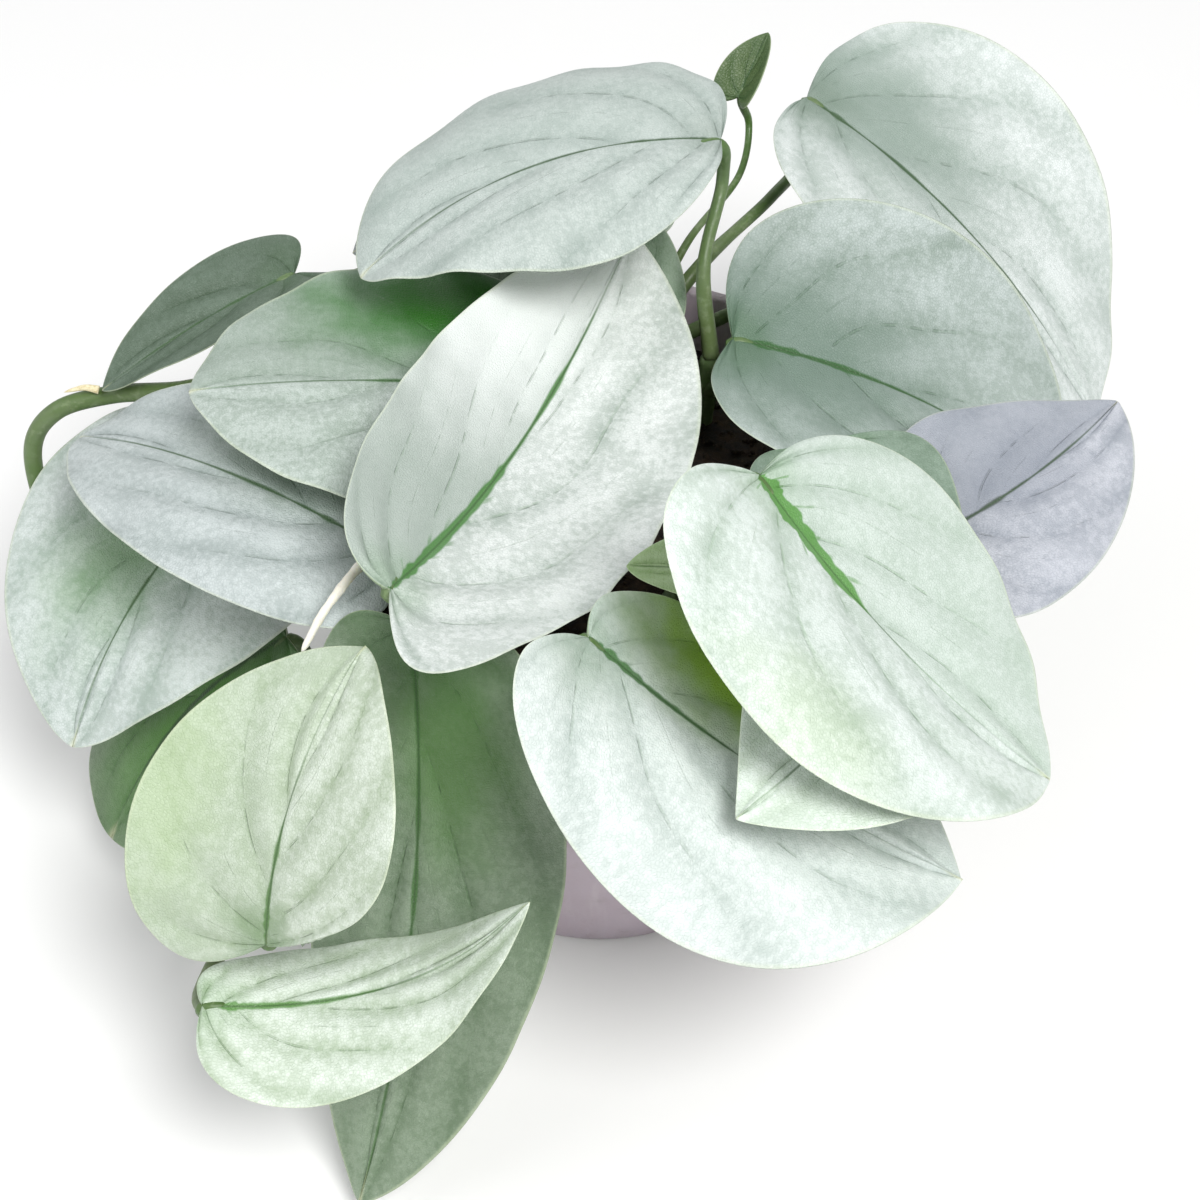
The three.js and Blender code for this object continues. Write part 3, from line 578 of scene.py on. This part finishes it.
bm = bmesh.new()
along = bm.verts.layers.float.new("along")
age = bm.verts.layers.float.new("age")
path, length = smooth_path(SHOOT_POINTS, SHOOT_STEP)
grow_tube(bm, along, age, path, length, shoot_radius, SHOOT_SIDES)
bmesh.ops.recalc_face_normals(bm, faces=bm.faces)
make_piece(bm, "white_shoot", "shoot_white", [shoot_wax])


# Dry sheath: the papery cream point left at a node of the trailing stem when its leaf unrolled.
SHEATH_POINTS = [(-113.5, 36.7, 99.6), (-116.5, 36.8, 100.2), (-119, 36.6, 99.8), (-121.5, 36.6, 99)]
SHEATH_RADIUS = 1.0
SHEATH_STEP = 0.5
SHEATH_SIDES = 12

sheath_paper, tree, shader, place = start_material("sheath_paper")
fibres = cloud(tree, place, 1500, 4, 0.6)
color = blend_colors(tree, ease(tree, fibres, 0.35, 0.7), tint("e9e0bd"), tint("c9b98a"))
dress(tree, shader, color, ease(tree, fibres, 0.3, 0.7, 0.55, 0.75), fibres, 0.00012)

bm = bmesh.new()
along = bm.verts.layers.float.new("along")
age = bm.verts.layers.float.new("age")
path, length = smooth_path(SHEATH_POINTS, SHEATH_STEP)
grow_tube(bm, along, age, path, length, lambda d: SHEATH_RADIUS * (1 - 0.75 * d / length), SHEATH_SIDES)
bmesh.ops.recalc_face_normals(bm, faces=bm.faces)
make_piece(bm, "dry_sheath", "sheath", [sheath_paper])


# Leaf blades: fleshy heart-shaped sheets under a millimetre thick, grooved along the midrib and
# quilted between the arching side veins, with a rounded margin and a raised rib underneath. Satin
# silver over green, with a ragged green streak along the midrib and a fine pale margin, and painted
# shade and light on many blades: darker halves, green round the bases, and patches.
BLADE_HALF_THICKNESS = 0.4
BLADE_ROWS = 84
BLADE_HALF_COLUMNS = 24
LOBE_REACH = 0.55
BASE_FULLNESS = 0.35
TIP_SHARPNESS = 0.15
WIDTH_CREST = 1.02
VEIN_SLANT = 2.3
CURL_POWER = 2.5
GROOVE_RADIUS = 2.5
VEIN_STRAIGHT_SHARE = 0.45
COLUMN_CROWDING = 1.25
VEIN_SWEEP = 0.3
QUILTING_HEIGHT = 0.95
SWAY_HEIGHT = 0.9
MARGIN_WAVE_HEIGHT = 0.8
GROOVE_DEPTH = 0.38
VEIN_RELIEF = 0.12
RIB_HEIGHT = 0.8
LARGE_BLADE_WIDTH = 40

# Each upper face: its tone, silver and shade, its streak's color, half width in mm and reach, its
# vein count, and the amount and reach in cm of the green round its base, which is partly the leaf's
# own green and partly painted shade where the blades crowd together. The silver and shade are
# partly each leaf's own tone and partly painted shade, darker on the leaves deep inside, underneath
# and at the back. Some have painted shade on their left or right half, or a patch of painted shade
# and light: how far along and to the left it lies and its size, in cm, its amount and the color
# itself. Such a patch is dark green where another leaf shades the blade, pale on the center leaf
# where light falls, and yellow-green on front_large and left_shaded where light comes through the
# leaves above.
NO_PAINTED_SHADING = (0, 0, 1, 0, "5d7f45")
LOOK_NAMES = ("tone", "silver", "shade", "green", "width", "reach", "veins", "base_green_and_shade", "spread")
LOOKS = {
    "top": ("silver", "c4cdc9", "99a6a0", "345030", 0.35, 0.8, 4.4, 0.25, 1.2, dict(right=0.3)),
    "top_behind": ("lilac", "9ba2a4", "757e7d", "46603f", 0.5, 0.7, 4.4, 0.3, 1.5, dict()),
    "young": ("shaded", "586c42", "3f5a32", "3f5a32", 0.4, 0.8, 3.8, 0.2, 0.5, dict()),
    "right_upper": ("silver", "dfe5e4", "a8b5ae", "3c5a38", 0.6, 0.75, 4.4, 0.35, 1.8,
        dict(painted_shading=(1.0, 0.8, 3.2, 0.85, "83958a"))),
    "right_middle": ("silver", "bcc6c4", "88978e", "2f5d28", 0.9, 0.62, 4.4, 0.4, 1.4,
        dict(painted_shading=(0.8, 0.0, 3.6, 0.9, "687d70"))),
    "right_outer": ("lilac", "c5c8d0", "9096a0", "414e42", 0.5, 0.75, 4.4, 0.1, 1.4,
        dict(left=0.6, painted_shading=(2.4, 0.2, 1.5, 0.5, "858b97"))),
    "right_under": ("green", "889c8c", "647a67", "4a7340", 0.6, 0.5, 3.8, 0.4, 1.5, dict()),
    "front_right": ("pale", "e4ece9", "a9b9ac", "4c8a2e", 2.8, 0.42, 4.4, 0.3, 1.6,
        dict(left=0.45, painted_shading=(3.4, -3.4, 1.5, 0.22, "a9c47f"))),
    # Painted light: the pale patch near this leaf's tip brightens a part that turns away from the key lamp.
    "center": ("silver", "eaeeed", "a3afa7", "3f7a2b", 1.05, 0.82, 4.8, 0.3, 1.4,
        dict(left=0.85, painted_shading=(8.6, 1.8, 3.4, 0.85, "f4f8f7"))),
    "left_upper": ("silver", "c8d2cd", "869689", "3f6b33", 0.6, 0.7, 4.4, 0.6, 2.2,
        dict(right=0.5, painted_shading=(1.4, -2.3, 2.8, 1.0, "276b0d"))),
    "left_middle": ("silver", "cdd5d5", "97a2a0", "42603d", 0.5, 0.8, 4.4, 0.4, 1.5,
        dict(right=0.2, painted_shading=(2.8, -1.6, 2.6, 0.75, "3a6029"))),
    "left_rear": ("green", "677869", "475a47", "3f5f38", 0.5, 0.8, 3.8, 0.3, 1.2, dict()),
    "left_outer": ("silver", "d3dbd9", "97a79d", "456b3b", 0.6, 0.75, 4.4, 0.5, 2.0,
        dict(painted_shading=(2.1, -0.9, 2.2, 0.62, "44801f"))),
    "left_shaded": ("shaded", "6f8467", "476140", "36592c", 0.8, 0.9, 3.8, 0.4, 2.0,
        dict(painted_shading=(3.0, 0.6, 3.2, 0.7, "4f8a2c"))),
    "front_left": ("pale", "d9e2d7", "9cad92", "4c7536", 0.7, 0.45, 4.4, 0.55, 1.3,
        dict(left=0.4, painted_shading=(2.2, 2.6, 1.7, 0.35, "a2bd80"))),
    "front_left_low": ("pale", "e2ebe2", "a3b59b", "578a3e", 0.8, 0.5, 4.4, 0.35, 1.2, dict()),
    "front_hanging": ("green", "8c9c87", "5f7559", "3f6a30", 0.7, 0.97, 4.4, 0.5, 2.6,
        dict(painted_shading=(2.2, 0.8, 2.1, 0.7, "55833a"))),
    # Painted light and shade: the yellow-green patch stands for the shadow of front_right with light coming
    # through that leaf.
    "front_large": ("silver", "e1e8e6", "b3bfba", "3f6f35", 1.1, 0.42, 4.4, 0.4, 2.0,
        dict(painted_shading=(3.0, 1.7, 2.3, 1.0, "7ea626"))),
    "front_right_low": ("pale", "e6efe9", "b5c5b3", "5c8a48", 0.5, 0.5, 3.8, 0.3, 1.2, dict()),
    "small": ("pale", "a9c093", "85a568", "5a8a3f", 0.4, 0.6, 3.4, 0.5, 0.8, dict()),
    "inner_rear": ("green", "97a896", "6e876b", "3f6437", 0.6, 0.7, 3.8, 0.4, 1.2, dict()),
    "rear_shaded": ("shaded", "7b8f77", "557050", "36562e", 0.6, 0.8, 3.8, 0.4, 1.2, dict()),
    "back_middle": ("green", "a5b4a6", "738b76", "44703a", 0.8, 0.8, 4.4, 0.4, 1.5, dict()),
    "back_right": ("silver", "bdc8c3", "879a8d", "41683a", 0.8, 0.7, 4.4, 0.4, 1.5, dict()),
    "back_left": ("silver", "bbc6c2", "85978b", "3f6638", 0.8, 0.7, 4.4, 0.4, 1.5, dict()),
}


def blade_surface(leaf, axes, t, q):
    """Middle surface in millimetres at vein t (0 base, 1 tip) and share q of the way to the margin."""
    chord, left, face, length = [np.array(a) for a in axes]
    lobes = leaf.get("lobes", (LOBE_REACH, LOBE_REACH))
    share = np.abs(q)
    angle = np.pi * t
    ahead = (1 - np.cos(angle)) / 2
    edge_along = ahead - np.where(q > 0, lobes[0], lobes[1]) * np.sin(angle) * ((1 + np.cos(angle)) / 2) ** 3
    taper = np.sqrt(np.maximum(1 - ahead, 0))
    sharp = leaf.get("sharp", TIP_SHARPNESS)
    point = taper * (1 + sharp) / (taper + sharp) / WIDTH_CREST
    evenness = 1 + leaf.get("even", 0) * np.where(q > 0, 1, -1)
    edge_across = np.sin(angle) * (1 + leaf.get("full", BASE_FULLNESS) * np.cos(angle)) * point * evenness
    rib = t ** VEIN_SLANT
    along = rib + (edge_along - rib) * (VEIN_STRAIGHT_SHARE * share + (1 - VEIN_STRAIGHT_SHARE) * share ** 2)
    across = edge_across * q
    half_width = leaf["width"] / 2
    arch, bow = leaf.get("arch", 0), leaf.get("bow", 0)
    on_rib = np.clip(along, 0, 1)
    slope = (4 * arch * (1 - 2 * on_rib))[:, None]
    tangent = chord + slope * face + (4 * bow * (1 - 2 * on_rib))[:, None] * left
    tangent /= np.linalg.norm(tangent, axis=1)[:, None]
    normal = (face - slope * chord) / np.hypot(1, slope)
    sideways = np.cross(normal, tangent)
    offset = across * half_width
    curl = leaf.get("curl", (0, 0))
    rise = (math.tan(math.radians(leaf.get("fold", 0))) * (np.hypot(offset, GROOVE_RADIUS) - GROOVE_RADIUS)
            - np.where(across > 0, curl[0], curl[1]) * half_width * np.abs(across) ** CURL_POWER)
    spots = (np.array(leaf["base"]) + chord * (on_rib * length)[:, None]
             + (arch * face + bow * left) * (4 * on_rib * (1 - on_rib) * length)[:, None]
             + tangent * ((along - on_rib) * length)[:, None]
             + sideways * offset[:, None] + normal * rise[:, None])
    return spots, along * length, offset


def ripples(rng, x, y, waves, longest, shortest):
    """A few gentle waves of random direction and place, between -1 and 1 or so."""
    total = np.zeros_like(x)
    for _ in range(waves):
        heading, reach = rng.uniform(0, math.pi), rng.uniform(shortest, longest)
        travel = (x * math.cos(heading) + y * math.sin(heading)) * 2 * math.pi / reach
        total += np.sin(travel + rng.uniform(0, 6.28))
    return total / waves


def build_blade(leaf, looks, seed):
    """Two sheets of quads, upper and lower, shaped into the blade and joined along its margin."""
    axes = blade_axes(leaf)
    size = min(leaf["width"] / LARGE_BLADE_WIDTH, 1)
    rows, columns = round(BLADE_ROWS * max(size, 0.5)), round(BLADE_HALF_COLUMNS * max(size, 0.5))
    bm = bmesh.new()
    vein_map = bm.loops.layers.uv.new("veins")
    flat_map = bm.loops.layers.uv.new("flat")
    for side in (1, -1):
        rng = random.Random(seed)
        sheet = bmesh.ops.create_grid(bm, x_segments=2 * columns, y_segments=rows, size=1)["verts"]
        u = np.array([v.co.x for v in sheet])
        t = np.array([(v.co.y + 1) / 2 for v in sheet])
        q = np.sign(u) * np.sin(np.pi / 2 * np.abs(u) ** COLUMN_CROWDING)
        spots, x, y = blade_surface(leaf, axes, t, q)
        inside_t, inside_q = np.clip(t, 0.01, 0.99), np.clip(q, -0.995, 0.995)
        here = blade_surface(leaf, axes, inside_t, inside_q)[0]
        ahead = blade_surface(leaf, axes, inside_t + 0.004, inside_q)[0] - here
        aside = blade_surface(leaf, axes, inside_t, inside_q + 0.004)[0] - here
        normals = np.cross(aside, ahead)
        normals *= np.where(normals @ np.array(axes[2]) < 0, -1, 1)[:, None]
        normals /= np.linalg.norm(normals, axis=1)[:, None]
        share = np.abs(q)
        ends = np.clip(np.sin(np.pi * t) / 0.12, 0, 1) ** 0.5
        shifted = t + 0.05 * ripples(rng, x, y, 4, 80, 30) * np.sin(np.pi * t)
        turns = looks["veins"] * (shifted - VEIN_SWEEP * share) + 0.25 + 0.2 * np.sign(q)
        wave = np.cos(2 * np.pi * turns)
        pillow = ((1 + wave) / 2) ** 0.6 - 0.6
        strength = np.clip(0.7 + 0.9 * ripples(rng, x, y, 4, 60, 26), 0.15, 1.3)
        quilting = QUILTING_HEIGHT * size * strength * pillow * np.sin(np.pi * share ** 0.75) ** 0.7
        sway = SWAY_HEIGHT * size * ripples(rng, x, y, 5, 60, 24) * share
        margin = MARGIN_WAVE_HEIGHT * size * ripples(rng, x, y, 4, 26, 13) * share ** 4
        lift = (quilting + sway + margin) * ends
        swell = np.sqrt(np.maximum(1 - share ** 10, 0)) * ends
        if side > 0:
            valley = np.exp(-((1 + wave) / 0.25) ** 2) * np.sin(np.pi * share ** 0.6)
            groove = np.exp(-(y / 0.8) ** 2) * (1 - t) ** 0.4
            lift += swell * (BLADE_HALF_THICKNESS - VEIN_RELIEF * valley - GROOVE_DEPTH * groove)
        else:
            ridge = np.exp(-((1 + wave) / 0.2) ** 2) * np.sin(np.pi * share ** 0.6)
            rib = np.exp(-(y / 1.1) ** 2) * (1 - t) ** 0.5
            lift -= swell * (BLADE_HALF_THICKNESS + VEIN_RELIEF * ridge + RIB_HEIGHT * size * rib)
        spots += normals * lift[:, None]
        columns_of_values = zip(sheet, spots.tolist(), shifted.tolist(), q.tolist(), x.tolist(), y.tolist())
        for vert, spot, vert_t, vert_q, vert_x, vert_y in columns_of_values:
            vert.co = Vector(spot) * MM
            for loop in vert.link_loops:
                loop[vein_map].uv = (vert_t, (vert_q + 1) / 2)
                loop[flat_map].uv = (vert_x / 10, vert_y / 10)
        for face in {f for v in sheet for f in v.link_faces}:
            face.material_index = 0 if side > 0 else 1
    bmesh.ops.remove_doubles(bm, verts=bm.verts, dist=2e-7)
    bmesh.ops.recalc_face_normals(bm, faces=bm.faces)
    return bm


# Markings of a blade: masks drawn along its own veins, so that every leaf wears them its own way,
# and masks for painted shade and light on one half, round the base and in a patch.
markings = bpy.data.node_groups.new("blade_markings", "ShaderNodeTree")
INPUTS = ("Seed", "Vein Count", "Streak Width", "Streak Reach", "Base Spread", "Painted Shading Along",
          "Painted Shading Across", "Painted Shading Size")
OUTPUTS = ("Streak", "Midline", "Vein Lines", "Quilting", "Mottle", "Grain", "Margin", "Tip", "Base",
           "Painted Shading", "Left Half")
for way, names in (("INPUT", INPUTS), ("OUTPUT", OUTPUTS)):
    for name in names:
        markings.interface.new_socket(name, in_out=way, socket_type="NodeSocketFloat")
given = markings.nodes.new("NodeGroupInput").outputs
result = markings.nodes.new("NodeGroupOutput").inputs


def read_map(name):
    """One of the blade's own maps: the place on it, and the place's two parts."""
    uv = markings.nodes.new("ShaderNodeUVMap")
    uv.uv_map = name
    parts = markings.nodes.new("ShaderNodeSeparateXYZ")
    markings.links.new(uv.outputs[0], parts.inputs[0])
    return uv.outputs[0], parts.outputs["X"], parts.outputs["Y"]


def join(*values):
    node = markings.nodes.new("ShaderNodeCombineXYZ")
    for socket, value in zip(node.inputs, values):
        feed(markings, socket, value)
    return node.outputs[0]


_, t, vein_side = read_map("veins")
flat_place, _, flat_side = read_map("flat")
flat = reckon_vector(markings, "ADD", flat_place, join(given["Seed"], given["Seed"], given["Seed"]))
signed = reckon(markings, "MULTIPLY_ADD", vein_side, 2, -1)
share = reckon(markings, "ABSOLUTE", signed)
# Left half mask, which carries the painted shade on one half of a blade.
markings.links.new(ease(markings, flat_side, -0.12, 0.12), result["Left Half"])
offset = reckon(markings, "ABSOLUTE", flat_side)
along_rib = reckon(markings, "POWER", t, VEIN_SLANT)
phase = reckon(markings, "MULTIPLY_ADD", reckon(markings, "SIGN", signed), 0.2, 0.25)
swept = reckon(markings, "MULTIPLY_ADD", share, -VEIN_SWEEP, t)
turns = reckon(markings, "MULTIPLY_ADD", swept, given["Vein Count"], phase)
wave = reckon(markings, "COSINE", scale_by(markings, turns, 2 * math.pi))
raised = reckon(markings, "MULTIPLY_ADD", wave, 0.5, 0.5)
contrast = ease(markings, cloud(markings, flat, 0.6, 2), 0.4, 0.62, 0.35, 1)
pillow = reckon(markings, "ADD", reckon(markings, "POWER", raised, 0.6), -0.6)
markings.links.new(reckon(markings, "MULTIPLY_ADD", pillow, contrast, 0.6), result["Quilting"])
line = ease(markings, raised, 0.008, 0.0)
between = ease(markings, raised, 0.997, 1.0, 0, 0.4)
fading = reckon(markings, "MULTIPLY", ease(markings, share, 0.02, 0.12), ease(markings, share, 0.95, 0.45))
broken = ease(markings, cloud(markings, flat, 2.5, 1), 0.4, 0.6)
drawn = reckon(markings, "MULTIPLY", reckon(markings, "MAXIMUM", line, between), fading)
markings.links.new(reckon(markings, "MULTIPLY", drawn, broken), result["Vein Lines"])
spikes = join(scale_by(markings, t, 11), scale_by(markings, signed, 1.5), given["Seed"])
rag = cloud(markings, spikes, 1, 2, 0.5)
reached = reckon(markings, "DIVIDE", along_rib, given["Streak Reach"])
fall = reckon(markings, "POWER", reckon(markings, "SUBTRACT", 1, reached, clamp=True), 0.6)
start = ease(markings, along_rib, -0.01, 0.06, 0.25, 1)
half_width = reckon(markings, "MULTIPLY", reckon(markings, "MULTIPLY", given["Streak Width"], fall), start)
ragged = reckon(markings, "MULTIPLY", half_width, ease(markings, rag, 0.3, 0.7, 0.45, 1.5))
body = ease(markings, reckon(markings, "SUBTRACT", ragged, offset), -0.03, 0.03)
comb = ease(markings, reckon(markings, "COSINE", scale_by(markings, turns, 8 * math.pi)), 0.35, 0.95)
feather_reach = reckon(markings, "MULTIPLY", half_width, ease(markings, rag, 0.42, 0.68, 0.6, 3.2))
feather_end = ease(markings, reckon(markings, "SUBTRACT", feather_reach, offset), -0.02, 0.12, 0, 0.6)
feathers = reckon(markings, "MULTIPLY", comb, feather_end)
markings.links.new(reckon(markings, "MAXIMUM", body, feathers), result["Streak"])
midline_end = reckon(markings, "MINIMUM", reckon(markings, "ADD", given["Streak Reach"], 0.3), 0.97)
midline_fade = reckon(markings, "SUBTRACT", midline_end, 0.25)
midline = reckon(markings, "MULTIPLY", ease(markings, offset, 0.035, 0.008),
                 ease(markings, along_rib, midline_end, midline_fade))
markings.links.new(midline, result["Midline"])
broad = scale_by(markings, cloud(markings, flat, 1.1, 2), 0.4)
small = scale_by(markings, cloud(markings, flat, 7, 3, 0.62), 0.6)
markings.links.new(reckon(markings, "ADD", small, broad), result["Mottle"])
cells = markings.nodes.new("ShaderNodeTexVoronoi")
cells.voronoi_dimensions = "2D"
cells.feature = "DISTANCE_TO_EDGE"
cells.inputs["Scale"].default_value = 15
markings.links.new(flat, cells.inputs["Vector"])
cell_walls = ease(markings, cells.outputs["Distance"], 0.0, 0.25, 0, 0.4)
fine = scale_by(markings, cloud(markings, flat, 30, 1, 0.65), 0.6)
markings.links.new(reckon(markings, "ADD", fine, cell_walls), result["Grain"])
markings.links.new(ease(markings, share, 0.978, 0.996), result["Margin"])
markings.links.new(ease(markings, t, 0.965, 0.995), result["Tip"])
uneven = reckon(markings, "MULTIPLY_ADD", cloud(markings, flat, 1.4, 3), 1.0, -0.5)
# Base mask: the green round the base, partly painted shade.
from_base = reckon_vector(markings, "LENGTH", flat_place)
nearness = reckon(markings, "DIVIDE", reckon(markings, "ADD", from_base, uneven), given["Base Spread"])
markings.links.new(ease(markings, nearness, 1.0, 0.1), result["Base"])
# Patch mask: an uneven oval of painted shade and light, stretched along the blade.
painted_shading_middle = join(given["Painted Shading Along"], given["Painted Shading Across"])
painted_shading_way = reckon_vector(markings, "SUBTRACT", flat_place, painted_shading_middle)
painted_shading_way = reckon_vector(markings, "MULTIPLY", painted_shading_way, (0.55, 1, 0))
painted_shading_far = reckon(markings, "ADD", reckon_vector(markings, "LENGTH", painted_shading_way), uneven)
painted_shading_far = reckon(markings, "DIVIDE", painted_shading_far, given["Painted Shading Size"])
markings.links.new(ease(markings, painted_shading_far, 1.0, 0.15), result["Painted Shading"])


def blade_material(name, seed, silver, shade, green, width, reach, veins, base_green_and_shade, spread, painted_shading=NO_PAINTED_SHADING,
                   left=0, right=0, under=False):
    """Satin skin of one face of a blade, with its colors, its share of each marking, and its painted shade
    and light.
    """
    material, tree, shader, _ = start_material(name)
    drawn = tree.nodes.new("ShaderNodeGroup")
    drawn.node_tree = markings
    for socket, value in (("Seed", seed * 7.3), ("Vein Count", veins), ("Streak Width", width / 10),
                          ("Streak Reach", reach), ("Base Spread", spread), ("Painted Shading Along", painted_shading[0]),
                          ("Painted Shading Across", painted_shading[1]), ("Painted Shading Size", painted_shading[2])):
        drawn.inputs[socket].default_value = value
    marks = drawn.outputs
    silvering = reckon(tree, "ADD", scale_by(tree, marks["Quilting"], 0.55),
                       ease(tree, marks["Mottle"], 0.4, 0.6, 0, 0.4))
    # Painted shade: the left or right half of the blade darkened towards the shade color, as much as left
    # and right ask.
    painted_shade_half = reckon(tree, "MULTIPLY_ADD", marks["Left Half"], left - right, right)
    color = blend_colors(tree, silvering, tint(shade), tint(silver))
    color = blend_colors(tree, painted_shade_half, color, tint(shade))
    color = blend_colors(tree, ease(tree, marks["Grain"], 0.3, 0.75, 0.2, 0), color, tint(shade))
    # Green round the base: partly the leaf's own green, partly painted shade where the blades crowd
    # together.
    layers = [("Base", base_green_and_shade, green), ("Vein Lines", 0.22, green)]
    if under:
        layers.append(("Midline", 0.5, "c2cfae"))
    else:
        # The patch is painted shade and light: dark green where another leaf shades the blade, paler where
        # light falls or comes through.
        layers = [("Painted Shading", *painted_shading[3:])] + layers + [("Streak", 0.9, green), ("Midline", 0.55, "34502b")]
    for mask, amount, layer_color in layers + [("Margin", 0.28, "d9e2c0"), ("Tip", 0.5, "dcdcb8")]:
        color = blend_colors(tree, scale_by(tree, marks[mask], amount), color, tint(layer_color))
    gloss = ease(tree, marks["Mottle"], 0.38, 0.62, 0.5, 0.42)
    roughness = reckon(tree, "MULTIPLY_ADD", marks["Streak"], -0.05, gloss)
    vein_relief = scale_by(tree, marks["Vein Lines"], 0.8 if under else -0.8)
    relief = reckon(tree, "MULTIPLY_ADD", marks["Grain"], 0.6, vein_relief)
    dress(tree, shader, color, roughness, relief, 0.00024)
    return material


UNDERSIDE = dict(silver="b1bfab", shade="8ea384", green="6e8f5a", width=0.5, reach=0.5, base_green_and_shade=0.3, spread=1.5)
for index, (name, leaf) in enumerate(LEAVES.items()):
    *values, more = LOOKS[name]
    looks = dict(zip(LOOK_NAMES, values), **more)
    tone = looks.pop("tone")
    upper = blade_material(f"blade_{name}_upper", index, **looks)
    lower = blade_material(f"blade_{name}_lower", index, veins=looks["veins"], under=True, **UNDERSIDE)
    blade = build_blade(leaf, looks, index)
    make_piece(blade, f"blade_{name}", f"leaf_{name}", [upper, lower])


# Stage: a plain pale floor, soft white light from all round, a large lamp above the front with
# weaker ones at the left and behind, and the camera that looks down at the plant from the front.
AIR_BRIGHTNESS = 0.52
LAMP_AIM = (0, 0, 0.08)
FLOOR_RADIUS = 20
FLOOR_STEPS = 96
CAMERA_PLACE = (0, -0.344, 0.413)
CAMERA_TILT = 45
CAMERA_LENS = 65
LAMPS = (
    ("key_lamp", (0.34, -0.7, 1.15), 0.5, 14.6, (1.0, 0.995, 0.98)),
    ("fill_lamp", (-0.9, -0.3, 0.9), 1.0, 4.0, (0.98, 0.99, 1.0)),
    ("back_lamp", (-0.1, 1.1, 0.7), 0.9, 2.0, (0.98, 0.99, 1.0)),
)

floor_finish, tree, shader, place = start_material("floor_finish")
color = blend_colors(tree, cloud(tree, place, 3, 2), tint("efefee"), tint("f6f6f6"))
tree.links.new(color, shader.inputs["Base Color"])
shader.inputs["Roughness"].default_value = 0.8
bm = bmesh.new()
bmesh.ops.create_circle(bm, cap_ends=True, segments=FLOOR_STEPS, radius=FLOOR_RADIUS)
floor_mesh = bpy.data.meshes.new("floor")
bm.to_mesh(floor_mesh)
bm.free()
floor_mesh.materials.append(floor_finish)
floor = bpy.data.objects.new("floor", floor_mesh)
bpy.context.scene.collection.objects.link(floor)

world = bpy.data.worlds.new("studio_air")
world.use_nodes = True
air = world.node_tree.nodes["Background"]
air.inputs["Color"].default_value = (0.99, 0.99, 1.0, 1)
air.inputs["Strength"].default_value = AIR_BRIGHTNESS
bpy.context.scene.world = world

for name, spot, size, power, lamp_color in LAMPS:
    light = bpy.data.lights.new(name, "AREA")
    light.shape = "DISK"
    light.size = size
    light.energy = power
    light.color = lamp_color
    lamp = bpy.data.objects.new(name, light)
    lamp.location = spot
    lamp.rotation_euler = (Vector(LAMP_AIM) - Vector(spot)).to_track_quat("-Z", "Y").to_euler()
    bpy.context.scene.collection.objects.link(lamp)

camera_data = bpy.data.cameras.new("camera")
camera_data.lens = CAMERA_LENS
camera = bpy.data.objects.new("camera", camera_data)
camera.location = CAMERA_PLACE
camera.rotation_euler = (math.radians(CAMERA_TILT), 0, 0)
bpy.context.scene.collection.objects.link(camera)
bpy.context.scene.camera = camera
bpy.context.scene.view_settings.view_transform = "Standard"
